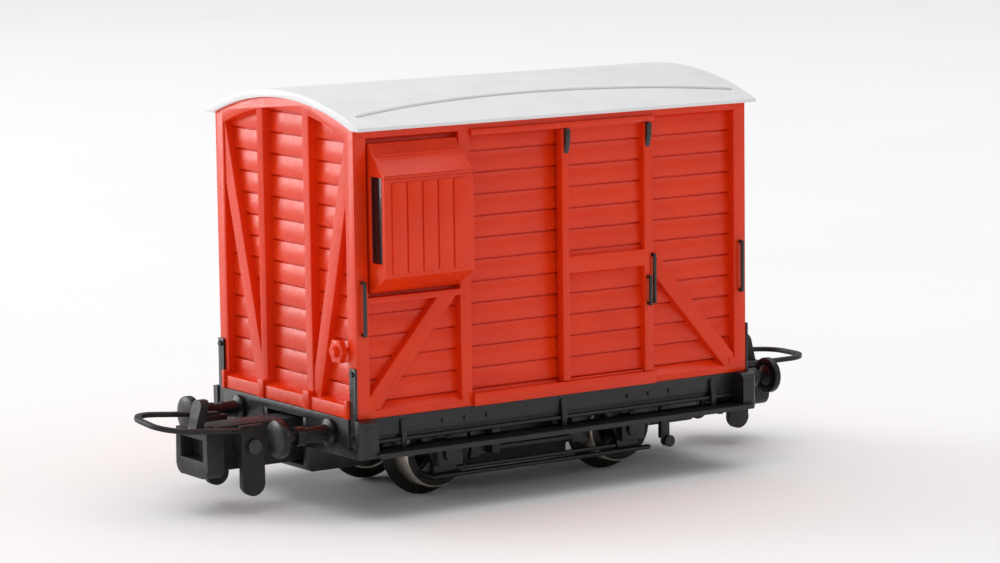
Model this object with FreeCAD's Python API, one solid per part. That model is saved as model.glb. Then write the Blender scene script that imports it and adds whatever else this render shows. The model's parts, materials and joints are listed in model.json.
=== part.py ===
"""Narrow-gauge goods brake van, a four-wheel railway model, built piece by piece.

Millimetres.  +X runs along the track, +Z is up, and the far side of the van is +Y.  "left" is the
-X end, "right" the +X end, "near" the -Y side and "far" the +Y side.  The origin is on the plane
that the wheel flanges touch, below the middle of the van.
"""

import FreeCAD
import Part
import math
import os

V = FreeCAD.Vector

# ---- driving dimensions: body -------------------------------------------------------------------
BODY_LENGTH = 35.06
BODY_WIDTH = 19.32
BODY_HEIGHT = 20.73          # underside to eaves
BODY_CLEARANCE = 0.10        # underside above the top of the wheel flanges
TRIM_PROUD = 0.65            # posts and rails stand this far out of the planking
TRIM_SUNK = 0.30             # and run this far into it
WALL = 0.90                  # planked wall
PLANK_PITCH = 1.585
PLANK_LAP = 0.10             # the lower edge of a plank stands out over the top of the next one
GROOVE_HEIGHT = 0.13
GROOVE_DEPTH = 0.14
SIDE_GROOVE_UP = 1.15        # lowest groove of the sides and doors, above the underside
END_GROOVE_UP = 2.34         # lowest groove of the ends, above the underside
CORNER_SIDE = 1.08           # corner post seen from the side
CORNER_END = 1.16            # corner post seen from the end
SILL_FACE = 0.45
SILL_SLOPE = 0.60
CANTRAIL_DROP = 0.63         # its lower edge below the eaves
SCREW_BLOCK_WIDTH = 3.2
SCREW_BLOCK_HEIGHT = 2.4
SCREW_BLOCK_CAP = 0.4        # left above the screw

# ---- side framing -------------------------------------------------------------------------------
DUCKET_POST_GAP = 0.145
DUCKET_POST_WIDTH = 0.91
DOOR_POST_X = 8.50
DOOR_POST_WIDTH = 0.30
WAIST_RAIL_UP = 8.23
WAIST_RAIL_HEIGHT = 0.47
BRACE_WIDTH = 1.25
BRACE_SETBACK = 0.05
LEFT_BRACE_FOOT_IN = 1.33    # from the body end
LEFT_BRACE_FOOT_UP = 0.90    # from the underside
LEFT_BRACE_HEAD_IN = 0.87    # from the post beside the lookout
LEFT_BRACE_HEAD_DOWN = 0.10  # from the top of the waist rail
RIGHT_BRACE_HEAD_OUT = 0.10  # from the door post
RIGHT_BRACE_HEAD_UP = 9.45
RIGHT_BRACE_FOOT_IN = 1.23
RIGHT_BRACE_FOOT_UP = 0.60
RIGHT_BRACE_END_GAP = 0.50   # its end is cut off upright, short of the plank face's end

# ---- end framing --------------------------------------------------------------------------------
END_POST_IN = 2.80           # inner face from the middle
END_POST_WIDTH = 0.85
END_BRACE_TOP_IN = 0.61      # from the body side
END_BRACE_TOP_DROP = 0.53    # below the eaves
END_BRACE_FOOT_OUT = 0.20    # from the end post
END_BRACE_WIDTH = 1.30
END_BRACE_SETBACK = 0.10
ARCH_RADIUS = 23.0
ARCH_DROP = 0.78             # below the underside of the roof, at the crown
END_SILL_HEIGHT = 1.00
END_SILL_PROUD = 0.25
END_SILL_BEVEL = 0.05
END_SILL_RISE = 0.16         # of the bevel, at the planks
POST_FOOT_PROUD = 0.18
POST_FOOT_RISE = 0.35        # above the end sill
POST_FOOT_INSET = 0.35       # from the body side

# ---- roof ---------------------------------------------------------------------------------------
ROOF_RADIUS = 28.3           # underside
ROOF_THICKNESS = 0.60
ROOF_EAVE_DROP = 0.05        # level underside of the overhang, below the eaves
ROOF_END_OVERHANG = 0.26
ROOF_SIDE_OVERHANG = 1.11
ROOF_LIP = 0.45              # locating ribs under the roof
ROOF_LIP_DROP = 1.3
ROOF_LIP_SHORT = 0.5         # from the inside of each end
ROOF_LIP_SUNK = 0.1          # into the sheet
RAIN_STRIP_SHORT = 0.99      # from the roof's end
RAIN_STRIP_INSET = 1.77      # from the roof's side, at the strip's ends
RAIN_STRIP_RISE = 2.25
RAIN_STRIP_WIDTH = 0.28
RAIN_STRIP_HEIGHT = 0.20

# ---- ducket (side lookout) ----------------------------------------------------------------------
DUCKET_INSET = 5.03          # its middle from the left end of the body
DUCKET_WIDTH = 7.55
DUCKET_DEPTH = 2.10          # beyond the posts
DUCKET_DROP = 1.03           # below the eaves
DUCKET_HEIGHT = 10.67
DUCKET_BREAK_DROP = 0.46
DUCKET_BREAK_OUT = 0.22
DUCKET_FACE_DROP = 2.15      # top of the face below the top
DUCKET_FACE_UP = 1.27        # bottom of the face above the bottom
DUCKET_WALL = 0.40
DUCKET_OPENING_RIM = 0.40    # body wall left inside the lookout
DUCKET_BOARDS = 5
DUCKET_BOARD_PITCH = 1.31
DUCKET_BOARD_GAP = 0.16
DUCKET_BOARD_PROUD = 0.12
DUCKET_BOARD_UP = 0.28       # above the bottom of the face
DUCKET_BOARD_DOWN = 0.52     # below the top of the face
CORNICE_HEIGHT = 0.22
CORNICE_PROUD = 0.06
BEAD_RADIUS = 0.09
BEAD_OUT = 0.42              # from the break in the sloping top
BEAD_INSET = 0.3
DUCKET_WINDOW_UP = 0.95
DUCKET_WINDOW_DOWN = 0.15
DUCKET_WINDOW_MARGIN = 0.45
GLAZING = 0.25
GLAZING_SET = 0.08           # behind the outside of the lookout's ends

# ---- sliding doors ------------------------------------------------------------------------------
DOOR_WIDTH = 8.10
DOOR_THICKNESS = 0.80
DOOR_STILE = 0.62
DOOR_PANEL = 0.32            # thickness of the planks between the stiles
DOOR_MID_RAIL_UP = 8.95      # above the underside of the body
DOOR_MID_RAIL_HEIGHT = 1.25
DOOR_HEAD_RAIL = 0.10
DOORWAY_REBATE = 0.80        # the door laps the sides of the doorway by this
DOORWAY_SILL = 0.40
DOORWAY_HEAD = 0.60
DOOR_GAP = 0.05
TONGUE_HEIGHT = 0.25
TONGUE_WIDTH = 0.30
TOP_RAIL_DROP = 0.55         # below the eaves
TOP_RAIL_HEIGHT = 0.43
BOTTOM_RAIL_HEIGHT = 0.94
RAIL_PROUD = 0.10            # in front of the doors
RAIL_END_GAP = 0.02
HANGER_WIDTH = 0.44
HANGER_LENGTH = 1.85
HANGER_STRAIGHT = 0.90       # of that length, before it tapers
HANGER_THICKNESS = 0.26
HANGER_LEFT_INSET = 0.20
HANGER_RIGHT_INSET = 0.05

# ---- grab rails ---------------------------------------------------------------------------------
WIRE_RADIUS = 0.14
WIRE_STANDOFF = 0.36
DOOR_POST_GRAB = (6.20, 9.70)        # low and high, above the underside of the body
RIGHT_CORNER_GRAB = (6.30, 10.00)
LEFT_CORNER_GRAB = (6.10, 9.85)
DOOR_GRAB = (6.10, 8.10)
CORNER_GRAB_INSET = 0.56
DOOR_GRAB_INSET = 0.32

# ---- underframe ---------------------------------------------------------------------------------
FLOOR_DROP = 0.70            # floor plate, below the underside of the body
DECK_HEIGHT = 1.00
DECK_GAP = 0.05
WHEEL_POCKET_GAP = 0.30
WHEEL_POCKET_END_GAP = 0.51
TRAY_WHEEL_GAP = 0.25        # between the tray under the floor and the wheel flanges
TRAY_HALF_Y = 4.20
TRAY_UP = 1.70               # above the wheel flange bottoms
SOLEBAR_HEIGHT = 1.85
SOLEBAR_WEB = 0.36
SOLEBAR_FLANGE = 0.27
SOLEBAR_GROOVE = 0.20        # above the bottom flange
SOLEBAR_GROOVE_DEPTH = 0.18
SOLEBAR_DEPTH = 0.76
SOLEBAR_LIP = 0.18
BOLT_RADIUS = 0.17
BOLT_PROUD = 0.12
BOLT_SUNK = 0.10
BOLT_SPREAD = 1.93
BOLT_DROP = 0.80
HEADSTOCK_THICKNESS = 1.40
HEADSTOCK_HEIGHT = 2.80
HEADSTOCK_SIDE_OVERHANG = 1.09       # beyond the body side
HEADSTOCK_END_OVERHANG = 0.32        # beyond the body end
HEADSTOCK_ROUND = 0.55
FOOTBOARD_LEFT_INSET = 0.98
FOOTBOARD_RIGHT_INSET = 0.18
FOOTBOARD_DROP = 2.35
FOOTBOARD_THICKNESS = 0.35
FOOTBOARD_OUT = 1.54         # beyond the body side
FOOTBOARD_IN = 0.96          # behind the body side
FOOTBOARD_ROUND = 0.38
LEFT_BRACKET_INSET = 3.73
RIGHT_BRACKET_INSET = 3.33
MIDDLE_BRACKET_X = 0.30
BRACKET_WIDTH = 0.45
BRACKET_THICKNESS = 0.16
BRACKET_TOP_DROP = 0.30
BRACKET_ARM = 0.30           # width of its drop and clearance from the board's edge
STRAP_WIDTH = 0.80
STRAP_THICKNESS = 0.20
STRAP_RISE = 3.70            # above the underside of the body
STRAP_DROP = 2.10            # and below it
STRAP_WRAP = 0.05            # past the corner
STRAP_BOLT_RADIUS = 0.20
STRAP_BOLT_PROUD = 0.14
STRAP_BOLT_DROP = 1.30       # below the underside of the body
STRAP_BOLT_RISE = 3.30       # and above it
STRAP_GAP = 0.03

# ---- running gear -------------------------------------------------------------------------------
WHEELBASE = 16.61
TREAD_RADIUS = 2.85
FLANGE_HEIGHT = 0.75
TYRE_THICKNESS = 0.60
WHEEL_BACK = 3.70
WHEEL_WIDTH = 2.25
FLANGE_THICKNESS = 0.55
FLANGE_CHAMFER = (0.15, 0.20)        # across and up, at its back
FLANGE_TIP = 0.30            # front of its tip, from the back of the wheel
TREAD_ROOT = 0.12
TREAD_TAPER = 0.05
TREAD_CHAMFER = 0.12
CENTRE_BACK_INSET = 0.25     # of the spoked centre, inside the tyre
CENTRE_FACE_INSET = 0.20
HUB_INSET = 0.15
SPOKE_BACK_PROUD = 0.20
AXLE_SHOULDER = 0.15         # beyond the wheel face
AXLE_POINT = 0.15
AXLE_RADIUS = 0.60
JOURNAL_STEP = 0.15          # the journal's radius is smaller than the axle's by this
RUNNING_GAP = 0.05
HUB_WALL = 0.40
RIM_WALL = 0.35
SPOKES = 8
SPOKE_WIDTH = 0.42
GUARD_GAP = 0.50             # from the wheel face
GUARD_THICKNESS = 0.45
GUARD_DROP = 1.98            # below the axle
GUARD_FLARE = 0.55           # of its top beyond the axlebox
GUARD_KNEE = 0.30            # above the axle
GUARD_WAIST = 0.40           # below the axle
GUARD_WAIST_OUT = 0.05
GUARD_FOOT_IN = 0.15
STAY_REACH = 3.0
STAY_WIDTH = 0.50
AXLEBOX_DEPTH = 1.05
AXLEBOX_HALF = 1.05
AXLEBOX_HALF_HEIGHT = 0.95
AXLEBOX_CAP = 0.30
AXLEBOX_CAP_RADIUS = 0.62
CUP_WALL = 0.25
CUP_LENGTH = 0.95
CUP_PROUD = 0.10
CUP_END = 0.20
LEAF_COUNT = 4
LEAF_THICKNESS = 0.20
LEAF_REACH = 2.6
LEAF_STEP = 0.5
SPRING_RISE = 2.0            # top leaf above the axle
SPRING_WIDTH = 0.60
BUCKLE_PROUD = 0.10
BUCKLE_HALF = 0.30
TIE_BAR_LEFT_REACH = 1.095   # past the left axle
TIE_BAR_RIGHT_REACH = 1.795  # past the right axle
TIE_ROD_RADIUS = 0.19
FLAT_BAR_INSET = 0.075       # from both faces of the axle guards
FLAT_BAR_RISE = 0.50         # its top above the tie rod's middle
TIE_ROD_DROP = 1.74          # below the axles
BLOCK_GAP = 0.20
BLOCK_THICKNESS = 0.75
BLOCK_FACE_INSET = 0.10      # from the wheel face
BLOCK_FLANGE_GAP = 0.35      # from the wheel flange
BLOCK_Z = (-1.10, 1.30)      # about the axle
HANGER_BAR_X = (0.60, 1.30)  # inward of the block's face
HANGER_BAR_DROP = 0.80       # below the axle
BRAKE_BRACKET_X = (1.25, 2.00)
BRAKE_BRACKET_INSET = 0.20   # from the outside of the axle guards
BRAKE_BRACKET_DROP = 0.70
PULL_ROD_SHORT = 1.60        # of the block's face
PULL_ROD_INSET = (0.25, 0.50)
PULL_ROD_DROP = (0.45, 0.10)
BRAKE_ARM_X = (-0.45, 0.35)
BRAKE_ARM_DROP = 1.30
ARM_BOSS_RADIUS = 0.45
ARM_BOSS_X = 0.25
ARM_BOSS_DROP = 1.55
ARM_BOSS_PROUD = 0.20
BRAKE_ARM_REACH = 3.645      # past the right axle

# ---- buffers ------------------------------------------------------------------------------------
BUFFER_SPREAD = 6.45
BUFFER_DROP = 1.25           # below the underside of the body
BUFFER_LENGTH = 4.80
BUFFER_HEAD_RADIUS = 1.38
BUFFER_HEAD_THICKNESS = 0.55
BUFFER_DOME = 0.18
BUFFER_BASE_RADIUS = 1.0
BUFFER_BASE_LENGTH = 0.30
BUFFER_FILLET = 0.15         # steps on both ends of the barrel
BUFFER_BASE_STEP = 0.10
BUFFER_BARREL_RADIUS = 0.54
BUFFER_COLLAR_START = 2.35   # from the headstock
BUFFER_COLLAR_LENGTH = 0.70
BUFFER_COLLAR_RADIUS = 0.70
RAM_RADIUS = 0.36
RAM_START = 0.60
NECK_LENGTH = 0.35
NECK_RADIUS = 0.80
NECK_SUNK = 0.10

# ---- couplers -----------------------------------------------------------------------------------
PIVOT_SETBACK = 3.25         # behind the headstock face
POCKET_SETBACK = 0.05
POCKET_LENGTH = 5.50
POCKET_HALF = 3.00
POCKET_WALL = 0.50
POCKET_HEIGHT = 4.04
POCKET_FLOOR = 0.50
POCKET_BEVEL = (0.45, 0.35)  # along and up
SCREW_SLOT = 0.24
HEAD_SUNK = 0.10             # of the shank and hook in the head
PIVOT_RADIUS = 0.70
PIVOT_THREAD_RADIUS = 0.50
PIVOT_HEAD_LIP = 0.35
PIVOT_HEAD_DEPTH = 0.20
SHANK_HALF = 1.20
SHANK_GAP = 0.08
SHANK_TOP_GAP = 0.20
HEAD_REACH = 7.84            # beyond the headstock face
HEAD_DEPTH = 1.40
HEAD_HALF = 2.30
HEAD_DROP = 0.20             # its top below the top of the shank
HEAD_HEIGHT = 3.42
HEAD_ROUND = 0.90
HEAD_WINDOW_HALF = 1.60
HEAD_WINDOW_UP = 1.27
HEAD_WINDOW_HEIGHT = 1.55
HEAD_WINDOW_BACK = 0.35
HOOK_HALF = 0.65
HOOK_THICKNESS = 0.66
HOOK_HEIGHT = 2.10
HOOK_RAKE = 0.60
HOOK_ROUND = 0.50
LOOP_REACH = 4.35            # pivot beyond the headstock face
LOOP_DROP = 1.20             # pivot below the top of the head
LOOP_PIN_RADIUS = 0.30
LOOP_PIN_LIP = 0.25
LOOP_BOSS_RADIUS = 0.72
TONGUE_GAP = 0.08
TONGUE_PLATE = 0.50
TONGUE_HALF_WIDTH = 0.95
TONGUE_DROP = 3.65           # below the loop pivot
TONGUE_RISE = 1.55           # above the loop pivot
RING_REACH = 7.50            # beyond the loop pivot
RING_PROUD = 0.17            # outside the tongues
RING_BAR = 0.50
RING_THICKNESS = 0.35
RING_RISE = 1.36             # above the loop pivot
RING_CORNER = 2.40
RING_REAR = 0.40             # behind the loop pivot
LEFT_RING_LIFT = 5.8         # degrees, the left ring stands raised
LEFT_RING_TWIST = 4.8        # degrees, and leans towards the near side

# ---- hand brake wheel ---------------------------------------------------------------------------
HANDWHEEL_INSET = 1.90       # from the body side
HANDWHEEL_UP = 4.81          # from the underside of the body
HANDWHEEL_RADIUS = 0.80
HANDWHEEL_LOBE = 0.20
HANDWHEEL_LOBES = 6
HANDWHEEL_LOBE_SET = 0.08    # lobe centres inside the rim
HANDWHEEL_THICKNESS = 0.45
HANDWHEEL_STANDOFF = 0.12
HANDWHEEL_HUB_RADIUS = 0.42
HANDWHEEL_HUB_LENGTH = 0.20
SPINDLE_RADIUS = 0.22
SPINDLE_SUNK = 0.50          # into the planked end
SPINDLE_CAP = 0.12

# ---- ballast ------------------------------------------------------------------------------------
BALLAST_END_GAP = 2.0        # from the screw blocks
BALLAST_SIDE_GAP = 0.81      # from the inside of the walls
BALLAST_THICKNESS = 1.8

# ---- derived: wheels and levels -----------------------------------------------------------------
FLANGE_RADIUS = TREAD_RADIUS + FLANGE_HEIGHT
TYRE_BORE = TREAD_RADIUS - TYRE_THICKNESS
WHEEL_FACE = WHEEL_BACK + WHEEL_WIDTH
AXLE_X = WHEELBASE / 2
AXLE_Z = FLANGE_RADIUS
JOURNAL_RADIUS = AXLE_RADIUS - JOURNAL_STEP
HUB_RADIUS = AXLE_RADIUS + HUB_WALL
CUP_RADIUS = JOURNAL_RADIUS + RUNNING_GAP + CUP_WALL
GUARD_INNER = WHEEL_FACE + GUARD_GAP
GUARD_OUTER = GUARD_INNER + GUARD_THICKNESS
AXLEBOX_OUTER = GUARD_OUTER + AXLEBOX_DEPTH
TIE_ROD_Z = AXLE_Z - TIE_ROD_DROP
TIE_BAR = (-AXLE_X - TIE_BAR_LEFT_REACH, AXLE_X + TIE_BAR_RIGHT_REACH)
BODY_BOTTOM = 2 * FLANGE_RADIUS + BODY_CLEARANCE
EAVES = BODY_BOTTOM + BODY_HEIGHT
SIDE_GROOVE = BODY_BOTTOM + SIDE_GROOVE_UP
END_GROOVE = BODY_BOTTOM + END_GROOVE_UP
END_SILL_TOP = BODY_BOTTOM + END_SILL_HEIGHT
CANTRAIL_BOTTOM = EAVES - CANTRAIL_DROP
FLOOR_UNDERSIDE = BODY_BOTTOM - FLOOR_DROP
DECK_TOP = BODY_BOTTOM + DECK_HEIGHT
SOLEBAR_BOTTOM = BODY_BOTTOM - SOLEBAR_HEIGHT
FOOTBOARD_TOP = BODY_BOTTOM - FOOTBOARD_DROP

# ---- derived: body and roof ---------------------------------------------------------------------
HALF_L = BODY_LENGTH / 2
HALF_W = BODY_WIDTH / 2
PLANK_X = HALF_L - TRIM_PROUD
PLANK_Y = HALF_W - TRIM_PROUD
INNER_X = PLANK_X - WALL
INNER_Y = PLANK_Y - WALL
ROOF_AXIS_Z = EAVES - math.sqrt(ROOF_RADIUS ** 2 - HALF_W ** 2)
ROOF_CROWN = ROOF_AXIS_Z + ROOF_RADIUS
ROOF_HALF_X = HALF_L + ROOF_END_OVERHANG
ROOF_HALF_Y = HALF_W + ROOF_SIDE_OVERHANG
ABOVE_ROOF = ROOF_CROWN + ROOF_THICKNESS + 5
WAIST_RAIL = (BODY_BOTTOM + WAIST_RAIL_UP, BODY_BOTTOM + WAIST_RAIL_UP + WAIST_RAIL_HEIGHT)
DOOR_POST = (DOOR_POST_X, DOOR_POST_X + DOOR_POST_WIDTH)
END_POST = (END_POST_IN, END_POST_IN + END_POST_WIDTH)
ARCH_CROWN = ROOF_CROWN - ARCH_DROP

# ---- derived: lookout and doors -----------------------------------------------------------------
DUCKET_CENTRE = -HALF_L + DUCKET_INSET
DUCKET_POST_LEFT = DUCKET_CENTRE + DUCKET_WIDTH / 2 + DUCKET_POST_GAP
DUCKET_POST = (DUCKET_POST_LEFT, DUCKET_POST_LEFT + DUCKET_POST_WIDTH)
DUCKET_TOP = EAVES - DUCKET_DROP
DUCKET_BOTTOM = DUCKET_TOP - DUCKET_HEIGHT
DUCKET_BREAK = DUCKET_TOP - DUCKET_BREAK_DROP
DUCKET_FACE = (DUCKET_BOTTOM + DUCKET_FACE_UP, DUCKET_TOP - DUCKET_FACE_DROP)
DUCKET_WINDOW = (DUCKET_FACE[0] + DUCKET_WINDOW_UP, DUCKET_FACE[1] - DUCKET_WINDOW_DOWN)
DOOR_RIGHT = DOOR_POST[0] - DOOR_GAP
DOOR = (DOOR_RIGHT - DOOR_WIDTH, DOOR_RIGHT)
DOOR_BACK = PLANK_Y + DOOR_GAP
DOOR_FRONT = DOOR_BACK + DOOR_THICKNESS
RAIL_FACE = DOOR_FRONT + RAIL_PROUD
RAIL_SPAN = (DUCKET_POST[1] + RAIL_END_GAP, DOOR_POST[1])
TOP_RAIL = (EAVES - TOP_RAIL_DROP - TOP_RAIL_HEIGHT, EAVES - TOP_RAIL_DROP)
BOTTOM_RAIL_TOP = BODY_BOTTOM + BOTTOM_RAIL_HEIGHT
DOOR_Z = (BOTTOM_RAIL_TOP + DOOR_GAP, TOP_RAIL[0] - DOOR_GAP)
DOOR_MID_RAIL = (BODY_BOTTOM + DOOR_MID_RAIL_UP, BODY_BOTTOM + DOOR_MID_RAIL_UP + DOOR_MID_RAIL_HEIGHT)
TONGUE_MID = (DOOR_FRONT + DOOR_BACK) / 2

# ---- derived: underframe and couplers -----------------------------------------------------------
HEADSTOCK_FACE = HALF_L + HEADSTOCK_END_OVERHANG
HEADSTOCK_BACK = HEADSTOCK_FACE - HEADSTOCK_THICKNESS
HEADSTOCK_HALF = HALF_W + HEADSTOCK_SIDE_OVERHANG
FLOOR_HALF_Y = HALF_W - SOLEBAR_DEPTH
FOOTBOARD_OUTER = HALF_W + FOOTBOARD_OUT
FOOTBOARD_INNER = HALF_W - FOOTBOARD_IN
FOOTBOARD_BRACKETS = (-HALF_L + LEFT_BRACKET_INSET, MIDDLE_BRACKET_X, HALF_L - RIGHT_BRACKET_INSET)
BUFFER_Z = BODY_BOTTOM - BUFFER_DROP
BUFFER_FACE = HEADSTOCK_FACE + BUFFER_LENGTH
PIVOT_X = HEADSTOCK_FACE - PIVOT_SETBACK
PIVOT_HEAD_RADIUS = PIVOT_RADIUS + PIVOT_HEAD_LIP
POCKET_FRONT = HEADSTOCK_FACE - POCKET_SETBACK
POCKET_BACK = POCKET_FRONT - POCKET_LENGTH
POCKET_BOTTOM = FLOOR_UNDERSIDE - POCKET_HEIGHT
SHANK_BOTTOM = POCKET_BOTTOM + POCKET_FLOOR + SHANK_GAP
SHANK_TOP = FLOOR_UNDERSIDE - SHANK_TOP_GAP
HEAD_FACE = HEADSTOCK_FACE + HEAD_REACH
HEAD_Z = (SHANK_TOP - HEAD_DROP - HEAD_HEIGHT, SHANK_TOP - HEAD_DROP)
HEAD_WINDOW_Z = (HEAD_Z[0] + HEAD_WINDOW_UP, HEAD_Z[0] + HEAD_WINDOW_UP + HEAD_WINDOW_HEIGHT)
HOOK_TOP = HEAD_Z[1] + HOOK_HEIGHT
LOOP_X = HEADSTOCK_FACE + LOOP_REACH
LOOP_Z = HEAD_Z[1] - LOOP_DROP
TONGUE_INNER = HEAD_HALF + TONGUE_GAP
TONGUE_OUTER = TONGUE_INNER + TONGUE_PLATE
RING_OUTER = TONGUE_OUTER + RING_PROUD
RING_FRONT = LOOP_X + RING_REACH
RING_Z = LOOP_Z + RING_RISE
HANDWHEEL_Y = -HALF_W + HANDWHEEL_INSET
HANDWHEEL_Z = BODY_BOTTOM + HANDWHEEL_UP
TINY = 0.01                  # two coordinates this close are the same
NODES = {}


# ---- helpers ------------------------------------------------------------------------------------
def box(x, y, z):
    """A box from three (low, high) pairs."""
    x, y, z = sorted(x), sorted(y), sorted(z)
    return Part.makeBox(x[1] - x[0], y[1] - y[0], z[1] - z[0], V(x[0], y[0], z[0]))


def rod(radius, start, end):
    """A round bar between two points."""
    start, end = V(*start), V(*end)
    return Part.makeCylinder(radius, (end - start).Length, start, end - start)


def plate_xz(points, y):
    """A flat plate with an outline of (x, z) points, between two y values."""
    wire = Part.makePolygon([V(px, min(y), pz) for px, pz in points + points[:1]])
    return Part.Face(wire).extrude(V(0, max(y) - min(y), 0))


def plate_yz(points, x):
    """A flat plate with an outline of (y, z) points, between two x values."""
    wire = Part.makePolygon([V(min(x), py, pz) for py, pz in points + points[:1]])
    return Part.Face(wire).extrude(V(max(x) - min(x), 0, 0))


def turned(profile, centre, axis):
    """A solid of revolution: (distance along the axis, radius) points, about an axis from centre."""
    axis = V(*axis)
    side = V(0, 0, 1)
    points = [V(*centre) + axis * along + side * radius for along, radius in profile]
    face = Part.Face(Part.makePolygon(points + points[:1]))
    return face.revolve(V(*centre), axis, 360)


def join(shapes):
    """Fuse a list of touching or overlapping solids into one."""
    return shapes[0].multiFuse(shapes[1:]).removeSplitter() if len(shapes) > 1 else shapes[0]


def group(shapes):
    """Separate solids that share one node."""
    return Part.makeCompound(shapes)


def flip_x(shape):
    """The same piece at the other end."""
    return shape.mirror(V(0, 0, 0), V(1, 0, 0))


def flip_y(shape):
    """The same piece on the other side."""
    return shape.mirror(V(0, 0, 0), V(0, 1, 0))


def four_corners(shape):
    """A piece repeated at both ends and on both sides."""
    return [shape, flip_x(shape), flip_y(shape), flip_x(flip_y(shape))]


def bar_between(foot, head, width, y):
    """A straight brace in the x-z plane, its centre line from foot to head."""
    along = V(head[0] - foot[0], 0, head[1] - foot[1])
    across = V(along.z, 0, -along.x).normalize() * (width / 2)
    start, end = V(foot[0], 0, foot[1]), V(head[0], 0, head[1])
    corners = [start + across, end + across, end - across, start - across]
    return plate_xz([(c.x, c.z) for c in corners], y)


def soften(shape, radius, wanted):
    """Round the edges for which wanted(edge) is true."""
    edges = [edge for edge in shape.Edges if wanted(edge)]
    return shape.makeFillet(radius, edges) if edges else shape


def near(value, target):
    """True for a coordinate that is at a target."""
    return abs(value - target) < TINY


def lap_profile(face, lowest, top):
    """Outline of lapped planking seen on edge, from the wall face outwards, as (out, z) points."""
    outline = [(face, lowest)]
    z = lowest
    while z < top:
        upper = z + PLANK_PITCH
        recess = face - PLANK_LAP
        outline += [(recess, upper - GROOVE_HEIGHT), (recess - GROOVE_DEPTH, upper - GROOVE_HEIGHT),
                    (recess - GROOVE_DEPTH, upper), (face, upper)]
        z = upper
    outside = face + 1
    return outline + [(outside, z), (outside, lowest)]


def starter_groove(face, lowest):
    """The groove under the lowest plank, as (out, z) points."""
    depth = face - PLANK_LAP - GROOVE_DEPTH
    return [(depth, lowest - GROOVE_HEIGHT), (face + 1, lowest - GROOVE_HEIGHT), (face + 1, lowest),
            (depth, lowest)]


def under_roof(extra=0.0):
    """Everything below the underside of the roof, and extra above it."""
    drum = rod(ROOF_RADIUS + extra, (-2 * HALF_L, 0, ROOF_AXIS_Z), (2 * HALF_L, 0, ROOF_AXIS_Z))
    keep = box((-2 * HALF_L, 2 * HALF_L), (-2 * HALF_W, 2 * HALF_W), (0, ABOVE_ROOF))
    return keep.common(drum)


# ---- body ---------------------------------------------------------------------------------------
def side_trim():
    """Posts, rails, braces and sill on the near side, in front of the planking."""
    face = (-HALF_W, -PLANK_Y + TRIM_SUNK)
    full_height = (BODY_BOTTOM, ABOVE_ROOF)
    pieces = [box(DUCKET_POST, face, full_height),
              box(DOOR_POST, face, full_height),
              box((-HALF_L, HALF_L), face, (CANTRAIL_BOTTOM, ABOVE_ROOF)),
              box((-PLANK_X, DUCKET_POST[0]), face, WAIST_RAIL)]
    for end in (-1, 1):
        corner = (end * HALF_L, end * (HALF_L - CORNER_SIDE))
        pieces.append(box(corner, face, full_height))
    brace_face = (-HALF_W + BRACE_SETBACK, -PLANK_Y + TRIM_SUNK)
    foot = (-HALF_L + LEFT_BRACE_FOOT_IN, BODY_BOTTOM + LEFT_BRACE_FOOT_UP)
    head = (DUCKET_POST[0] - LEFT_BRACE_HEAD_IN, WAIST_RAIL[1] - LEFT_BRACE_HEAD_DOWN)
    left = bar_between(foot, head, BRACE_WIDTH, brace_face)
    pieces.append(left.common(box((-HALF_L, DUCKET_POST[1]), brace_face, (BODY_BOTTOM, WAIST_RAIL[1]))))
    head = (DOOR_POST[0] + RIGHT_BRACE_HEAD_OUT, BODY_BOTTOM + RIGHT_BRACE_HEAD_UP)
    foot = (HALF_L - RIGHT_BRACE_FOOT_IN, BODY_BOTTOM + RIGHT_BRACE_FOOT_UP)
    right = bar_between(foot, head, BRACE_WIDTH, brace_face)
    field = box((DOOR_POST[0], PLANK_X - RIGHT_BRACE_END_GAP), brace_face, (BODY_BOTTOM, EAVES))
    pieces.append(right.common(field))
    sill_top = BODY_BOTTOM + SILL_FACE
    outline = [(-INNER_Y, BODY_BOTTOM), (-HALF_W, BODY_BOTTOM), (-HALF_W, sill_top),
               (-PLANK_Y, sill_top + SILL_SLOPE), (-INNER_Y, sill_top + SILL_SLOPE)]
    pieces.append(plate_yz(outline, (-HALF_L, HALF_L)))
    return pieces


def end_trim():
    """Posts, braces, arch rail and sill on the left end, in front of the planking."""
    face = (-HALF_L, -PLANK_X + TRIM_SUNK)
    post_foot = (-HALF_L - END_SILL_PROUD - POST_FOOT_PROUD, -PLANK_X)
    pieces = []
    for side in (-1, 1):
        pieces.append(box(face, (side * END_POST[0], side * END_POST[1]), (BODY_BOTTOM, ABOVE_ROOF)))
        corner = (side * HALF_W, side * (HALF_W - CORNER_END))
        pieces.append(box(face, corner, (BODY_BOTTOM, ABOVE_ROOF)))
        pieces.append(end_brace(side, (face[0] + END_BRACE_SETBACK, face[1])))
        for inner, outer in (END_POST, (HALF_W - CORNER_END, HALF_W - POST_FOOT_INSET)):
            pieces.append(box(post_foot, (side * inner, side * outer),
                              (BODY_BOTTOM, END_SILL_TOP + POST_FOOT_RISE)))
    arch_axis = ARCH_CROWN - ARCH_RADIUS
    arch = box(face, (-HALF_W, HALF_W), (arch_axis + ARCH_RADIUS / 2, ABOVE_ROOF))
    pieces.append(arch.cut(rod(ARCH_RADIUS, (-2 * HALF_L, 0, arch_axis), (0, 0, arch_axis))))
    outline = [(-INNER_X, BODY_BOTTOM), (-HALF_L - END_SILL_PROUD, BODY_BOTTOM),
               (-HALF_L - END_SILL_PROUD, END_SILL_TOP - END_SILL_BEVEL),
               (-PLANK_X, END_SILL_TOP + END_SILL_RISE), (-INNER_X, END_SILL_TOP + END_SILL_RISE)]
    pieces.append(plate_xz(outline, (-HALF_W, HALF_W)))
    return pieces


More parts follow.
